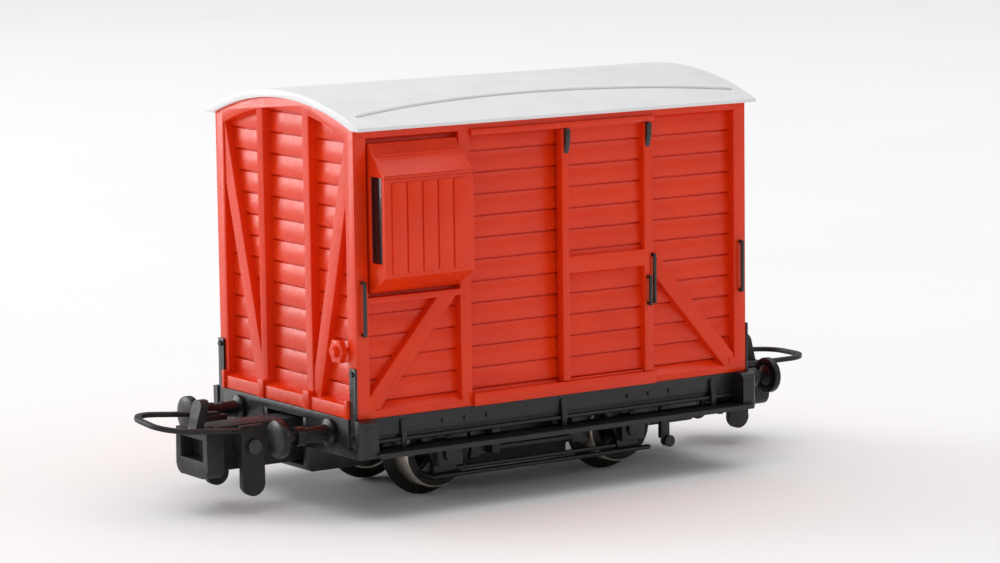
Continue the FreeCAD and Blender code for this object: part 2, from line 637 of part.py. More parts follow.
def end_brace(side, x):
    """One long brace of the left end, from beside the end post up to the corner."""
    top = (HALF_W - END_BRACE_TOP_IN, EAVES - END_BRACE_TOP_DROP)
    foot = (END_POST[1] + END_BRACE_FOOT_OUT, END_SILL_TOP)
    low = BODY_BOTTOM + END_SILL_HEIGHT / 2
    low_y = foot[0] - (foot[1] - low) * (top[0] - foot[0]) / (top[1] - foot[1])
    half = END_BRACE_WIDTH / 2
    outline = [(side * (low_y - half), low), (side * (low_y + half), low),
               (side * (top[0] + half), top[1]), (side * (top[0] - half), top[1])]
    return plate_yz(outline, x)


def planked_core():
    """The plain box of the body with lapped planks cut into its four walls."""
    core = box((-PLANK_X, PLANK_X), (-PLANK_Y, PLANK_Y), (BODY_BOTTOM, ABOVE_ROOF))
    across = (-2 * HALF_L, 2 * HALF_L)
    along = (-2 * HALF_W, 2 * HALF_W)
    cutters = []
    for outline in (lap_profile(PLANK_Y, SIDE_GROOVE, CANTRAIL_BOTTOM), starter_groove(PLANK_Y, SIDE_GROOVE)):
        side = plate_yz(outline, across)
        cutters += [side, flip_y(side)]
    for outline in (lap_profile(PLANK_X, END_GROOVE, ARCH_CROWN), starter_groove(PLANK_X, END_GROOVE)):
        end = plate_xz(outline, along)
        cutters += [end, flip_x(end)]
    return core.cut(cutters)


def pivot_hole(radius):
    """Room for the two coupler pivot screws, all the way up."""
    return [rod(radius, (end * PIVOT_X, 0, 0), (end * PIVOT_X, 0, ABOVE_ROOF)) for end in (-1, 1)]


def body_shell():
    """The whole body: planked walls, framing, two doorways and two lookout openings."""
    near = side_trim()
    left = end_trim()
    trims = near + [flip_y(p) for p in near] + left + [flip_x(p) for p in left]
    shell = planked_core().multiFuse(trims).common(under_roof())
    room = box((-INNER_X, INNER_X), (-INNER_Y, INNER_Y), (0, ABOVE_ROOF))
    shell = shell.cut(room)
    shell = shell.removeSplitter()
    doorway_x = (DOOR[0] + DOORWAY_REBATE, DOOR[1] - DOORWAY_REBATE)
    doorway_z = (DOOR_Z[0] + DOORWAY_SILL, DOOR_Z[1] - DOORWAY_HEAD)
    lookout_x = ducket_span(DUCKET_WALL + DUCKET_OPENING_RIM)
    lookout_z = (DUCKET_FACE[0] + DUCKET_OPENING_RIM, DUCKET_FACE[1])
    cuts = []
    for side in (-1, 1):
        through = (0, side * 2 * HALF_W)
        cuts.append(box(doorway_x, through, doorway_z))
        cuts.append(box(lookout_x, through, lookout_z))
        # the rails and the lookout are fitted into the face of the framing
        framing = (side * PLANK_Y, side * 2 * HALF_W)
        cuts.append(box(RAIL_SPAN, framing, TOP_RAIL))
        cuts.append(box(RAIL_SPAN, framing, (0, BODY_BOTTOM + SILL_FACE + SILL_SLOPE)))
        cuts.append(box(ducket_span(), framing, (DUCKET_BOTTOM, DUCKET_TOP)))
    cuts.append(rod(SPINDLE_RADIUS, (-2 * HALF_L, HANDWHEEL_Y, HANDWHEEL_Z),
                    (-PLANK_X + SPINDLE_SUNK, HANDWHEEL_Y, HANDWHEEL_Z)))
    slots = strap_room()
    return shell.cut(cuts + slots + [flip_x(s) for s in slots])


def add_body_panels():
    """Keep the body as two sides and two ends, which meet on the planes inside the ends."""
    shell = body_shell()
    height, across = (0, ABOVE_ROOF), (-2 * HALF_W, 2 * HALF_W)
    add("body_side_near", shell.common(box((-INNER_X, INNER_X), (-2 * HALF_W, 0), height)))
    add("body_side_far", shell.common(box((-INNER_X, INNER_X), (0, 2 * HALF_W), height)))
    add("body_end_left", shell.common(box((-2 * HALF_L, -INNER_X), across, height)))
    add("body_end_right", shell.common(box((INNER_X, 2 * HALF_L), across, height)))


def screw_blocks():
    """Two blocks inside the ends that the coupler pivot screws are driven into."""
    half = SCREW_BLOCK_WIDTH / 2
    block = box((-PIVOT_X + half, -INNER_X), (-half, half), (DECK_TOP, DECK_TOP + SCREW_BLOCK_HEIGHT))
    block = block.cut(pivot_hole(PIVOT_THREAD_RADIUS))
    return group([block, flip_x(block)])


def roof():
    """The curved roof sheet with two locating ribs inside the walls."""
    ends = (-2 * HALF_L, 0, ROOF_AXIS_Z), (2 * HALF_L, 0, ROOF_AXIS_Z)
    sheet = box((-ROOF_HALF_X, ROOF_HALF_X), (-ROOF_HALF_Y, ROOF_HALF_Y), (ROOF_AXIS_Z, ABOVE_ROOF))
    sheet = sheet.common(rod(ROOF_RADIUS + ROOF_THICKNESS, *ends)).cut(rod(ROOF_RADIUS, *ends))
    below = box((-2 * HALF_L, 2 * HALF_L), (HALF_W, 2 * HALF_W), (0, EAVES - ROOF_EAVE_DROP))
    sheet = sheet.cut([below, flip_y(below)])
    ribs = []
    outer = INNER_Y - DECK_GAP
    for side in (-1, 1):
        rib_top = ROOF_AXIS_Z + math.sqrt(ROOF_RADIUS ** 2 - outer ** 2)
        rib = box((-INNER_X + ROOF_LIP_SHORT, INNER_X - ROOF_LIP_SHORT),
                  (side * (outer - ROOF_LIP), side * outer), (rib_top - ROOF_LIP_DROP, ABOVE_ROOF))
        ribs.append(rib.common(under_roof(ROOF_LIP_SUNK)))
    return join([sheet] + ribs)


def rain_strips():
    """A curved gutter strip on each slope of the roof."""
    half, rise = ROOF_HALF_X - RAIN_STRIP_SHORT, RAIN_STRIP_RISE
    sweep = (half ** 2 + rise ** 2) / (2 * rise)
    centre_y = -ROOF_HALF_Y + RAIN_STRIP_INSET + rise - sweep
    low, high = ROOF_AXIS_Z + ROOF_RADIUS / 2, ABOVE_ROOF
    ring = rod(sweep + RAIN_STRIP_WIDTH / 2, (0, centre_y, low), (0, centre_y, high))
    ring = ring.cut(rod(sweep - RAIN_STRIP_WIDTH / 2, (0, centre_y, low), (0, centre_y, high)))
    top = ROOF_RADIUS + ROOF_THICKNESS
    ends = (-2 * HALF_L, 0, ROOF_AXIS_Z), (2 * HALF_L, 0, ROOF_AXIS_Z)
    skin = rod(top + RAIN_STRIP_HEIGHT, *ends).cut(rod(top, *ends))
    field = box((-half, half), (-ROOF_HALF_Y, 0), (low, high))
    strip = ring.common(field).common(skin)
    return group([strip, flip_y(strip)])


# ---- ducket -------------------------------------------------------------------------------------
def ducket_span(inset=0.0):
    """Ends of the lookout along x, drawn in by inset."""
    half = DUCKET_WIDTH / 2 - inset
    return (DUCKET_CENTRE - half, DUCKET_CENTRE + half)


def ducket_outline(inset):
    """Cross-section of the lookout as (y, z) points on the near side, drawn in by inset."""
    out = HALF_W + DUCKET_DEPTH - inset
    return [(-PLANK_Y, DUCKET_BOTTOM + inset), (-HALF_W, DUCKET_BOTTOM + inset),
            (-out, DUCKET_FACE[0] + inset), (-out, DUCKET_FACE[1] - inset / 2),
            (-HALF_W - DUCKET_BREAK_OUT, DUCKET_BREAK - inset), (-HALF_W, DUCKET_TOP - inset),
            (-PLANK_Y, DUCKET_TOP - inset)]


def ducket():
    """The near lookout: a boarded box with sloping top and bottom and a window in each end."""
    shell = plate_yz(ducket_outline(0), ducket_span())
    hollow = ducket_outline(DUCKET_WALL)
    hollow[0] = (0, hollow[0][1])
    hollow[-1] = (0, hollow[-1][1])
    shell = shell.cut(plate_yz(hollow, ducket_span(DUCKET_WALL)))
    face = -(HALF_W + DUCKET_DEPTH)
    behind = face + DUCKET_WALL / 2
    pieces = [shell]
    for i in range(DUCKET_BOARDS):
        middle = DUCKET_CENTRE + (i - (DUCKET_BOARDS - 1) / 2) * DUCKET_BOARD_PITCH
        half = (DUCKET_BOARD_PITCH - DUCKET_BOARD_GAP) / 2
        pieces.append(box((middle - half, middle + half), (face - DUCKET_BOARD_PROUD, behind),
                          (DUCKET_FACE[0] + DUCKET_BOARD_UP, DUCKET_FACE[1] - DUCKET_BOARD_DOWN)))
    # a cornice strip along the top of the face, and a bead across the sloping top
    pieces.append(box(ducket_span(), (face - CORNICE_PROUD, behind),
                      (DUCKET_FACE[1] - CORNICE_HEIGHT, DUCKET_FACE[1])))
    slope = (DUCKET_BREAK - DUCKET_FACE[1]) / (DUCKET_DEPTH - DUCKET_BREAK_OUT)
    bead_y = -HALF_W - DUCKET_BREAK_OUT - BEAD_OUT
    bead_z = DUCKET_BREAK - BEAD_OUT * slope
    bead_start, bead_end = ducket_span(BEAD_INSET)
    pieces.append(rod(BEAD_RADIUS, (bead_start, bead_y, bead_z), (bead_end, bead_y, bead_z)))
    shell = join(pieces)
    window = box((-2 * HALF_L, 0), ducket_window_y(), DUCKET_WINDOW)
    return shell.cut(window)


def ducket_window_y():
    """Width of the lookout's end windows."""
    return (-HALF_W - DUCKET_WINDOW_MARGIN / 2, -HALF_W - DUCKET_DEPTH + DUCKET_WINDOW_MARGIN)


def ducket_glazing():
    """Four dark panes that fill the end windows of both lookouts."""
    panes = []
    left, right = ducket_span(GLAZING_SET)
    for start, end in ((left, left + GLAZING), (right - GLAZING, right)):
        pane = box((start, end), ducket_window_y(), DUCKET_WINDOW)
        panes += [pane, flip_y(pane)]
    return group(panes)


# ---- doors --------------------------------------------------------------------------------------
def door_tongue(z, width=TONGUE_WIDTH, x=DOOR):
    """The strip that runs in a rail, or with more width the groove that it runs in."""
    return box(x, (-TONGUE_MID - width / 2, -TONGUE_MID + width / 2), z)


def door():
    """The near sliding door: stiles, a middle rail and lapped planks, with a tongue above and below."""
    slab = box(DOOR, (-DOOR_FRONT, -DOOR_BACK), DOOR_Z)
    panel_x = (DOOR[0] + DOOR_STILE, DOOR[1] - DOOR_STILE)
    panel_face = DOOR_BACK + DOOR_PANEL
    outline = lap_profile(panel_face, SIDE_GROOVE, DOOR_Z[1] - 1)
    planks = flip_y(plate_yz(outline, panel_x))
    planks = planks.multiFuse([flip_y(plate_yz(starter_groove(panel_face, SIDE_GROOVE), panel_x))])
    front = box(panel_x, (-DOOR_FRONT - 1, -panel_face), (DOOR_Z[0] - 1, DOOR_Z[1] - DOOR_HEAD_RAIL))
    rail = box(panel_x, (-DOOR_FRONT, -DOOR_BACK), DOOR_MID_RAIL)
    slab = slab.cut([planks, front])
    tongues = [door_tongue((DOOR_Z[0] - TONGUE_HEIGHT, DOOR_Z[0] + DOOR_HEAD_RAIL)),
               door_tongue((DOOR_Z[1] - DOOR_HEAD_RAIL, DOOR_Z[1] + TONGUE_HEIGHT))]
    return join([slab, rail] + tongues)


def door_rail(top):
    """The upper or lower rail of the near door, with the groove that the door's tongue runs in."""
    groove = TONGUE_WIDTH + 2 * DOOR_GAP
    depth = TONGUE_HEIGHT + DOOR_GAP
    if top:
        rail = box(RAIL_SPAN, (-RAIL_FACE, -PLANK_Y), TOP_RAIL)
        slot = door_tongue((TOP_RAIL[0] - 1, DOOR_Z[1] + depth), groove, RAIL_SPAN)
    else:
        rail = box(RAIL_SPAN, (-RAIL_FACE, -PLANK_Y), (BODY_BOTTOM, BOTTOM_RAIL_TOP))
        slot = door_tongue((DOOR_Z[0] - depth, BOTTOM_RAIL_TOP + 1), groove, RAIL_SPAN)
    return rail.cut(slot)


def door_hangers():
    """Two tapered hanger plates on the top corners of the near door."""
    plates = []
    for x in (DOOR[0] + HANGER_LEFT_INSET, DOOR[1] - HANGER_RIGHT_INSET - HANGER_WIDTH):
        outline = [(-DOOR_FRONT, DOOR_Z[1] - HANGER_LENGTH), (-DOOR_FRONT, DOOR_Z[1]),
                   (-DOOR_FRONT - HANGER_THICKNESS, DOOR_Z[1]),
                   (-DOOR_FRONT - HANGER_THICKNESS, DOOR_Z[1] - HANGER_STRAIGHT)]
        plates.append(plate_yz(outline, (x, x + HANGER_WIDTH)))
    return group(plates)


def grab_rail(x, span, face):
    """A vertical wire grab rail on the near side, its bent ends standing on a face."""
    z = [BODY_BOTTOM + up for up in span]
    out = -face - WIRE_STANDOFF
    posts = [rod(WIRE_RADIUS, (x, -face, level), (x, out, level)) for level in z]
    upright = rod(WIRE_RADIUS, (x, out, z[0]), (x, out, z[1]))
    knees = [Part.makeSphere(WIRE_RADIUS, V(x, out, level)) for level in z]
    return join(posts + [upright] + knees)


def handrails():
    """Grab rails on the corner posts and beside the doors."""
    corner = HALF_L - CORNER_GRAB_INSET
    rails = [grab_rail(sum(DOOR_POST) / 2, DOOR_POST_GRAB, HALF_W),
             grab_rail(corner, RIGHT_CORNER_GRAB, HALF_W),
             grab_rail(-corner, LEFT_CORNER_GRAB, HALF_W)]
    return group(rails + [flip_y(r) for r in rails])


# ---- underframe ---------------------------------------------------------------------------------
def chassis_floor():
    """Floor plate with a raised deck inside the body, a tray below it and pockets over the flanges."""
    plate = box((-HEADSTOCK_BACK, HEADSTOCK_BACK), (-FLOOR_HALF_Y, FLOOR_HALF_Y),
                (FLOOR_UNDERSIDE, BODY_BOTTOM))
    deck = box((-INNER_X + DECK_GAP, INNER_X - DECK_GAP), (-INNER_Y + DECK_GAP, INNER_Y - DECK_GAP),
               (BODY_BOTTOM, DECK_TOP))
    tray_x = AXLE_X - FLANGE_RADIUS - TRAY_WHEEL_GAP
    tray = box((-tray_x, tray_x), (-TRAY_HALF_Y, TRAY_HALF_Y), (TRAY_UP, BODY_BOTTOM))
    floor = join([plate, deck, tray])
    cuts = pivot_hole(PIVOT_THREAD_RADIUS + DECK_GAP)
    chord = math.sqrt(FLANGE_RADIUS ** 2 - (FLOOR_UNDERSIDE - AXLE_Z) ** 2)
    half = chord + WHEEL_POCKET_END_GAP
    pocket = box((AXLE_X - half, AXLE_X + half),
                 (WHEEL_BACK - WHEEL_POCKET_GAP, WHEEL_FACE + WHEEL_POCKET_GAP),
                 (0, 2 * FLANGE_RADIUS + WHEEL_POCKET_GAP))
    return floor.cut(cuts + four_corners(pocket))


def headstock():
    """The left buffer beam, with rounded ends and an opening for the coupler."""
    beam = box((-HEADSTOCK_FACE, -HEADSTOCK_BACK), (-HEADSTOCK_HALF, HEADSTOCK_HALF),
               (BODY_BOTTOM - HEADSTOCK_HEIGHT, BODY_BOTTOM))
    beam = soften(beam, HEADSTOCK_ROUND, lambda e: near(abs(e.CenterOfMass.y), HEADSTOCK_HALF)
                  and e.CenterOfMass.x < -(HEADSTOCK_FACE + HEADSTOCK_BACK) / 2 + TINY)
    mouth = box((-2 * HALF_L, 0), (-POCKET_HALF, POCKET_HALF), (0, FLOOR_UNDERSIDE))
    return beam.cut([mouth] + strap_room())


def solebar():
    """The near side channel of the underframe, with rows of bolt heads at the axle guards."""
    x = (-HEADSTOCK_BACK, HEADSTOCK_BACK)
    lip_top = SOLEBAR_BOTTOM + SOLEBAR_FLANGE
    web = box(x, (-HALF_W, -HALF_W + SOLEBAR_WEB), (SOLEBAR_BOTTOM, BODY_BOTTOM))
    top = box(x, (-HALF_W, -FLOOR_HALF_Y), (BODY_BOTTOM - SOLEBAR_FLANGE, BODY_BOTTOM))
    bottom = box(x, (-HALF_W - SOLEBAR_LIP, -FLOOR_HALF_Y), (SOLEBAR_BOTTOM, lip_top))
    groove = box(x, (-2 * HALF_W, -HALF_W + SOLEBAR_GROOVE_DEPTH), (lip_top, lip_top + SOLEBAR_GROOVE))
    bolts = []
    for end in (-1, 1):
        for step in (-1, 0, 1):
            at, z = end * AXLE_X + step * BOLT_SPREAD, BODY_BOTTOM - BOLT_DROP
            bolts.append(rod(BOLT_RADIUS, (at, -HALF_W + BOLT_SUNK, z), (at, -HALF_W - BOLT_PROUD, z)))
    return join([web, top, bottom] + bolts).cut(groove)


def footboard():
    """The long step along the near side, cut back round the ends of the headstocks."""
    under = FOOTBOARD_TOP - FOOTBOARD_THICKNESS
    board = box((-HALF_L + FOOTBOARD_LEFT_INSET, HALF_L - FOOTBOARD_RIGHT_INSET),
                (-FOOTBOARD_OUTER, -FOOTBOARD_INNER), (under, FOOTBOARD_TOP))
    board = soften(board, FOOTBOARD_ROUND, lambda e: near(e.CenterOfMass.z, (under + FOOTBOARD_TOP) / 2)
                   and near(e.CenterOfMass.y, -FOOTBOARD_OUTER))
    corner = box((HEADSTOCK_BACK - DECK_GAP, 2 * HALF_L), (-HEADSTOCK_HALF - DECK_GAP, 0), (0, BODY_BOTTOM))
    return board.cut([corner, flip_x(corner)])


def footboard_brackets():
    """Strap brackets that hang the footboards from the solebars."""
    straps = []
    under = FOOTBOARD_TOP - FOOTBOARD_THICKNESS
    lip, lip_top = -HALF_W - SOLEBAR_LIP, SOLEBAR_BOTTOM + SOLEBAR_FLANGE
    top = BODY_BOTTOM - BRACKET_TOP_DROP
    upper = [(-HALF_W, top), (-HALF_W - BRACKET_THICKNESS, top), (lip - BRACKET_THICKNESS, lip_top),
             (lip - BRACKET_THICKNESS, FOOTBOARD_TOP), (lip, FOOTBOARD_TOP), (lip, lip_top),
             (-HALF_W, lip_top)]
    drop, tip = -FOOTBOARD_INNER + BRACKET_ARM, -FOOTBOARD_OUTER + BRACKET_ARM
    arm = [(-FOOTBOARD_INNER, SOLEBAR_BOTTOM), (drop, SOLEBAR_BOTTOM), (drop, under - BRACKET_THICKNESS),
           (tip, under - BRACKET_THICKNESS), (tip, under), (-FOOTBOARD_INNER, under)]
    for x in FOOTBOARD_BRACKETS:
        span = (x - BRACKET_WIDTH / 2, x + BRACKET_WIDTH / 2)
        straps += [plate_yz(upper, span), plate_yz(arm, span)]
    return group(straps + [flip_y(s) for s in straps])


def strap_room():
    """Slots at the left corners that the corner straps lie in."""
    outer = HALF_W + STRAP_WRAP + STRAP_GAP
    slot = box((-2 * HALF_L, -HALF_L), (-outer, -outer + STRAP_WIDTH + 2 * STRAP_GAP),
               (BODY_BOTTOM - STRAP_DROP - STRAP_GAP, BODY_BOTTOM + STRAP_RISE))
    return [slot, flip_y(slot)]


def corner_straps():
    """Iron straps that tie the corner posts to the headstocks."""
    outer, face = HALF_W + STRAP_WRAP, -HALF_L - STRAP_THICKNESS
    pieces = [box((face, -HALF_L), (-outer, -outer + STRAP_WIDTH),
                  (BODY_BOTTOM - STRAP_DROP, BODY_BOTTOM + STRAP_RISE))]
    middle = -outer + STRAP_WIDTH / 2
    for z in (BODY_BOTTOM - STRAP_BOLT_DROP, BODY_BOTTOM + STRAP_BOLT_RISE):
        pieces.append(rod(STRAP_BOLT_RADIUS, (face, middle, z), (face - STRAP_BOLT_PROUD, middle, z)))
    return group(four_corners(join(pieces)))


# ---- running gear -------------------------------------------------------------------------------
def axle_guard(x):
    """A near axle guard: horn plate, diagonal stays, axlebox and leaf spring in one moulding."""
    plate_y = (-GUARD_OUTER, -GUARD_INNER)
    z, foot = AXLE_Z, AXLE_Z - GUARD_DROP
    half = AXLEBOX_HALF
    flare, waist, sole = half + GUARD_FLARE, half + GUARD_WAIST_OUT, half - GUARD_FOOT_IN
    outline = [(x - flare, FLOOR_UNDERSIDE), (x - flare, z + GUARD_KNEE), (x - waist, z - GUARD_WAIST),
               (x - sole, foot), (x + sole, foot), (x + waist, z - GUARD_WAIST),
               (x + flare, z + GUARD_KNEE), (x + flare, FLOOR_UNDERSIDE)]
    pieces = [plate_xz(outline, plate_y)]
    for side in (-1, 1):
        top = (x + side * STAY_REACH, FLOOR_UNDERSIDE + STAY_WIDTH)
        stay = bar_between((x + side * half / 2, z - half), top, STAY_WIDTH, plate_y)
        below = box((x - 2 * STAY_REACH, x + 2 * STAY_REACH), plate_y, (0, FLOOR_UNDERSIDE))
        pieces.append(stay.common(below))
    pieces.append(box((x - half, x + half), (-AXLEBOX_OUTER + AXLEBOX_CAP, -GUARD_INNER),
                      (z - AXLEBOX_HALF_HEIGHT, z + AXLEBOX_HALF_HEIGHT)))
    pieces.append(rod(AXLEBOX_CAP_RADIUS, (x, -AXLEBOX_OUTER, z), (x, -GUARD_INNER, z)))
    for leaf in range(LEAF_COUNT):
        reach = LEAF_REACH - LEAF_STEP * leaf
        top = z + SPRING_RISE - leaf * LEAF_THICKNESS
        pieces.append(box((x - reach, x + reach), (-GUARD_OUTER - SPRING_WIDTH, -GUARD_INNER),
                          (top - LEAF_THICKNESS, top)))
    pieces.append(box((x - BUCKLE_HALF, x + BUCKLE_HALF),
                      (-GUARD_OUTER - SPRING_WIDTH - BUCKLE_PROUD, -GUARD_INNER),
                      (z, z + SPRING_RISE + BUCKLE_PROUD)))
    guard = join(pieces)
    return guard.cut(rod(CUP_RADIUS, (x, 0, z), (x, -GUARD_INNER - CUP_LENGTH, z)))


def bearing_cups():
    """Four brass cups that the axle ends run in."""
    cups = []
    inner = -GUARD_INNER + CUP_PROUD
    outer = -GUARD_INNER - CUP_LENGTH
    cup = rod(CUP_RADIUS, (AXLE_X, inner, AXLE_Z), (AXLE_X, outer, AXLE_Z))
    bore = rod(JOURNAL_RADIUS + RUNNING_GAP, (AXLE_X, 0, AXLE_Z), (AXLE_X, outer + CUP_END, AXLE_Z))
    return group(four_corners(cup.cut(bore)))


def tie_bar():
    """The rod between the near axle guards and the flat bar above it."""
    y = -GUARD_OUTER - TIE_ROD_RADIUS
    low = rod(TIE_ROD_RADIUS, (TIE_BAR[0], y, TIE_ROD_Z), (TIE_BAR[1], y, TIE_ROD_Z))
    caps = [Part.makeSphere(TIE_ROD_RADIUS, V(x, y, TIE_ROD_Z)) for x in TIE_BAR]
    reach = AXLE_X - AXLEBOX_HALF
    flat = box((-reach, reach), (-GUARD_OUTER + FLAT_BAR_INSET, -GUARD_INNER - FLAT_BAR_INSET),
               (TIE_ROD_Z + TIE_ROD_RADIUS, TIE_ROD_Z + FLAT_BAR_RISE))
    return group([join([low] + caps), flat])


def brake_gear():
    """Near brake gear: blocks behind the wheels, hangers, pull rod, lever and a safety arm."""
    z = AXLE_Z
    block_y = (-WHEEL_FACE + BLOCK_FACE_INSET, -WHEEL_BACK - FLANGE_THICKNESS - BLOCK_FLANGE_GAP)
    radius = TREAD_RADIUS + BLOCK_GAP
    pieces = []
    for end in (-1, 1):
        ring = rod(radius + BLOCK_THICKNESS, (end * AXLE_X, block_y[0], z), (end * AXLE_X, block_y[1], z))
        ring = ring.cut(rod(radius, (end * AXLE_X, -2 * HALF_W, z), (end * AXLE_X, 0, z)))
        inward = end * (AXLE_X - radius)
        sector = box((inward + end * BLOCK_THICKNESS, inward - end * BRAKE_BRACKET_X[1]), block_y,
                     (z + BLOCK_Z[0], z + BLOCK_Z[1]))
        hanger = box([inward - end * back for back in HANGER_BAR_X], block_y,
                     (z - HANGER_BAR_DROP, FLOOR_UNDERSIDE))
        bracket = box([inward - end * back for back in BRAKE_BRACKET_X],
                      (-GUARD_OUTER + BRAKE_BRACKET_INSET, block_y[1]),
                      (z - BRAKE_BRACKET_DROP, FLOOR_UNDERSIDE))
        pieces += [ring.common(sector), hanger, bracket]
    reach = AXLE_X - radius - PULL_ROD_SHORT
    pieces.append(box((-reach, reach), [-GUARD_OUTER + inset for inset in PULL_ROD_INSET],
                      [z - drop for drop in PULL_ROD_DROP]))
    arm_x = AXLE_X + BRAKE_ARM_REACH
    arm = box((arm_x + BRAKE_ARM_X[0], arm_x + BRAKE_ARM_X[1]), (-GUARD_OUTER, -GUARD_INNER),
              (z - BRAKE_ARM_DROP, FLOOR_UNDERSIDE))
    boss_x, boss_z = arm_x + ARM_BOSS_X, z - ARM_BOSS_DROP
    boss = rod(ARM_BOSS_RADIUS, (boss_x, -GUARD_OUTER - ARM_BOSS_PROUD, boss_z),
               (boss_x, -GUARD_INNER, boss_z))
    return group([join(pieces), join([arm, boss])])


def tyre(x):
    """The near metal tyre of one wheelset: a tread with a small taper, and a flange."""
    back, face = -WHEEL_BACK, -WHEEL_FACE
    root = back - FLANGE_THICKNESS
    edge = TREAD_RADIUS - TREAD_TAPER
    profile = [(-back, TYRE_BORE), (-back, FLANGE_RADIUS - FLANGE_CHAMFER[1]),
               (-back + FLANGE_CHAMFER[0], FLANGE_RADIUS), (-back + FLANGE_TIP, FLANGE_RADIUS),
               (-root, TREAD_RADIUS + TREAD_ROOT), (-root + TREAD_ROOT, TREAD_RADIUS),
               (-face - TREAD_CHAMFER, edge), (-face, edge - TREAD_CHAMFER), (-face, TYRE_BORE)]
    return turned(profile, (x, 0, AXLE_Z), (0, -1, 0))


def wheel_centre(x):
    """The near spoked centre inside a tyre; it insulates the tyre from the axle."""
    z = AXLE_Z
    back, face = -WHEEL_BACK - CENTRE_BACK_INSET, -WHEEL_FACE + CENTRE_FACE_INSET
    inside = rod(TYRE_BORE - RIM_WALL, (x, 0, z), (x, -2 * HALF_W, z))
    rim = rod(TYRE_BORE, (x, back, z), (x, face, z)).cut(inside)
    hub = rod(HUB_RADIUS, (x, back + HUB_INSET, z), (x, face - HUB_INSET, z))
    pieces = [rim, hub]
    for i in range(SPOKES):
        spoke = box((x - SPOKE_WIDTH / 2, x + SPOKE_WIDTH / 2), (back - SPOKE_BACK_PROUD, face + HUB_INSET),
                    (z + HUB_RADIUS - HUB_WALL / 2, z + TYRE_BORE - RIM_WALL / 2))
        spoke.rotate(V(x, 0, z), V(0, 1, 0), 360 * i / SPOKES)
        pieces.append(spoke)
    return join(pieces).cut(rod(AXLE_RADIUS, (x, 0, z), (x, -2 * HALF_W, z)))


def axle(x):
    """A steel axle with turned-down journals and pointed ends."""
    tip = GUARD_INNER + CUP_LENGTH - CUP_END - RUNNING_GAP
    shoulder = WHEEL_FACE + AXLE_SHOULDER
    half = [(shoulder, AXLE_RADIUS), (shoulder, JOURNAL_RADIUS), (tip - AXLE_POINT, JOURNAL_RADIUS),
            (tip, 0)]
    profile = [(-along, radius) for along, radius in reversed(half)] + half
    return turned(profile, (x, 0, AXLE_Z), (0, 1, 0))


# ---- buffers ------------------------------------------------------------------------------------
def buffer_housing():
    """A buffer stock on the left headstock, near side, bored for its ram."""
    start = HEADSTOCK_FACE
    collar = start + BUFFER_COLLAR_START
    collar_end = collar + BUFFER_COLLAR_LENGTH
    base = start + BUFFER_BASE_LENGTH
    profile = [(start, 0), (start, BUFFER_BASE_RADIUS), (base, BUFFER_BASE_RADIUS),
               (base + BUFFER_FILLET, BUFFER_BARREL_RADIUS + BUFFER_BASE_STEP),
               (collar - BUFFER_FILLET, BUFFER_BARREL_RADIUS),
               (collar, BUFFER_COLLAR_RADIUS), (collar_end, BUFFER_COLLAR_RADIUS), (collar_end, 0)]
    stock = turned(profile, (0, -BUFFER_SPREAD, BUFFER_Z), (-1, 0, 0))
    return stock.cut(rod(RAM_RADIUS, (-start - RAM_START, -BUFFER_SPREAD, BUFFER_Z),
                         (-2 * HEADSTOCK_FACE, -BUFFER_SPREAD, BUFFER_Z)))


def buffer_head():
    """A domed buffer head with its ram."""
    back = BUFFER_FACE - BUFFER_DOME - BUFFER_HEAD_THICKNESS
    dome = (BUFFER_HEAD_RADIUS ** 2 + BUFFER_DOME ** 2) / (2 * BUFFER_DOME)
    disc = rod(BUFFER_HEAD_RADIUS, (-back, -BUFFER_SPREAD, BUFFER_Z),
               (-BUFFER_FACE, -BUFFER_SPREAD, BUFFER_Z))
    disc = disc.common(Part.makeSphere(dome, V(dome - BUFFER_FACE, -BUFFER_SPREAD, BUFFER_Z)))
    cone = [(back - NECK_LENGTH, 0), (back - NECK_LENGTH, RAM_RADIUS), (back, NECK_RADIUS),
            (back + NECK_SUNK, NECK_RADIUS), (back + NECK_SUNK, 0)]
    neck = turned(cone, (0, -BUFFER_SPREAD, BUFFER_Z), (-1, 0, 0))
    ram = rod(RAM_RADIUS, (-HEADSTOCK_FACE - RAM_START, -BUFFER_SPREAD, BUFFER_Z),
              (-back, -BUFFER_SPREAD, BUFFER_Z))
    return join([disc, neck, ram])


# ---- couplers (built for the left end) ----------------------------------------------------------
def coupler_pocket():
    """The box under the floor that holds the coupler shank, with a bevelled nose."""
    outside = box((-POCKET_FRONT, -POCKET_BACK), (-POCKET_HALF, POCKET_HALF),
                  (POCKET_BOTTOM, FLOOR_UNDERSIDE))
    inner = POCKET_HALF - POCKET_WALL
    inside = box((-POCKET_FRONT - 1, -POCKET_BACK - POCKET_WALL), (-inner, inner),
                 (POCKET_BOTTOM + POCKET_FLOOR, FLOOR_UNDERSIDE + 1))
    bevel = plate_xz([(-POCKET_FRONT, POCKET_BOTTOM), (-POCKET_FRONT + POCKET_BEVEL[0], POCKET_BOTTOM),
                      (-POCKET_FRONT, POCKET_BOTTOM + POCKET_BEVEL[1])], (-POCKET_HALF, POCKET_HALF))
    head_hole = rod(PIVOT_HEAD_RADIUS + DECK_GAP, (-PIVOT_X, 0, 0),
                    (-PIVOT_X, 0, POCKET_BOTTOM + PIVOT_HEAD_DEPTH))
    shank_hole = rod(PIVOT_RADIUS, (-PIVOT_X, 0, 0), (-PIVOT_X, 0, FLOOR_UNDERSIDE))
    return outside.cut([inside, bevel, head_hole, shank_hole])


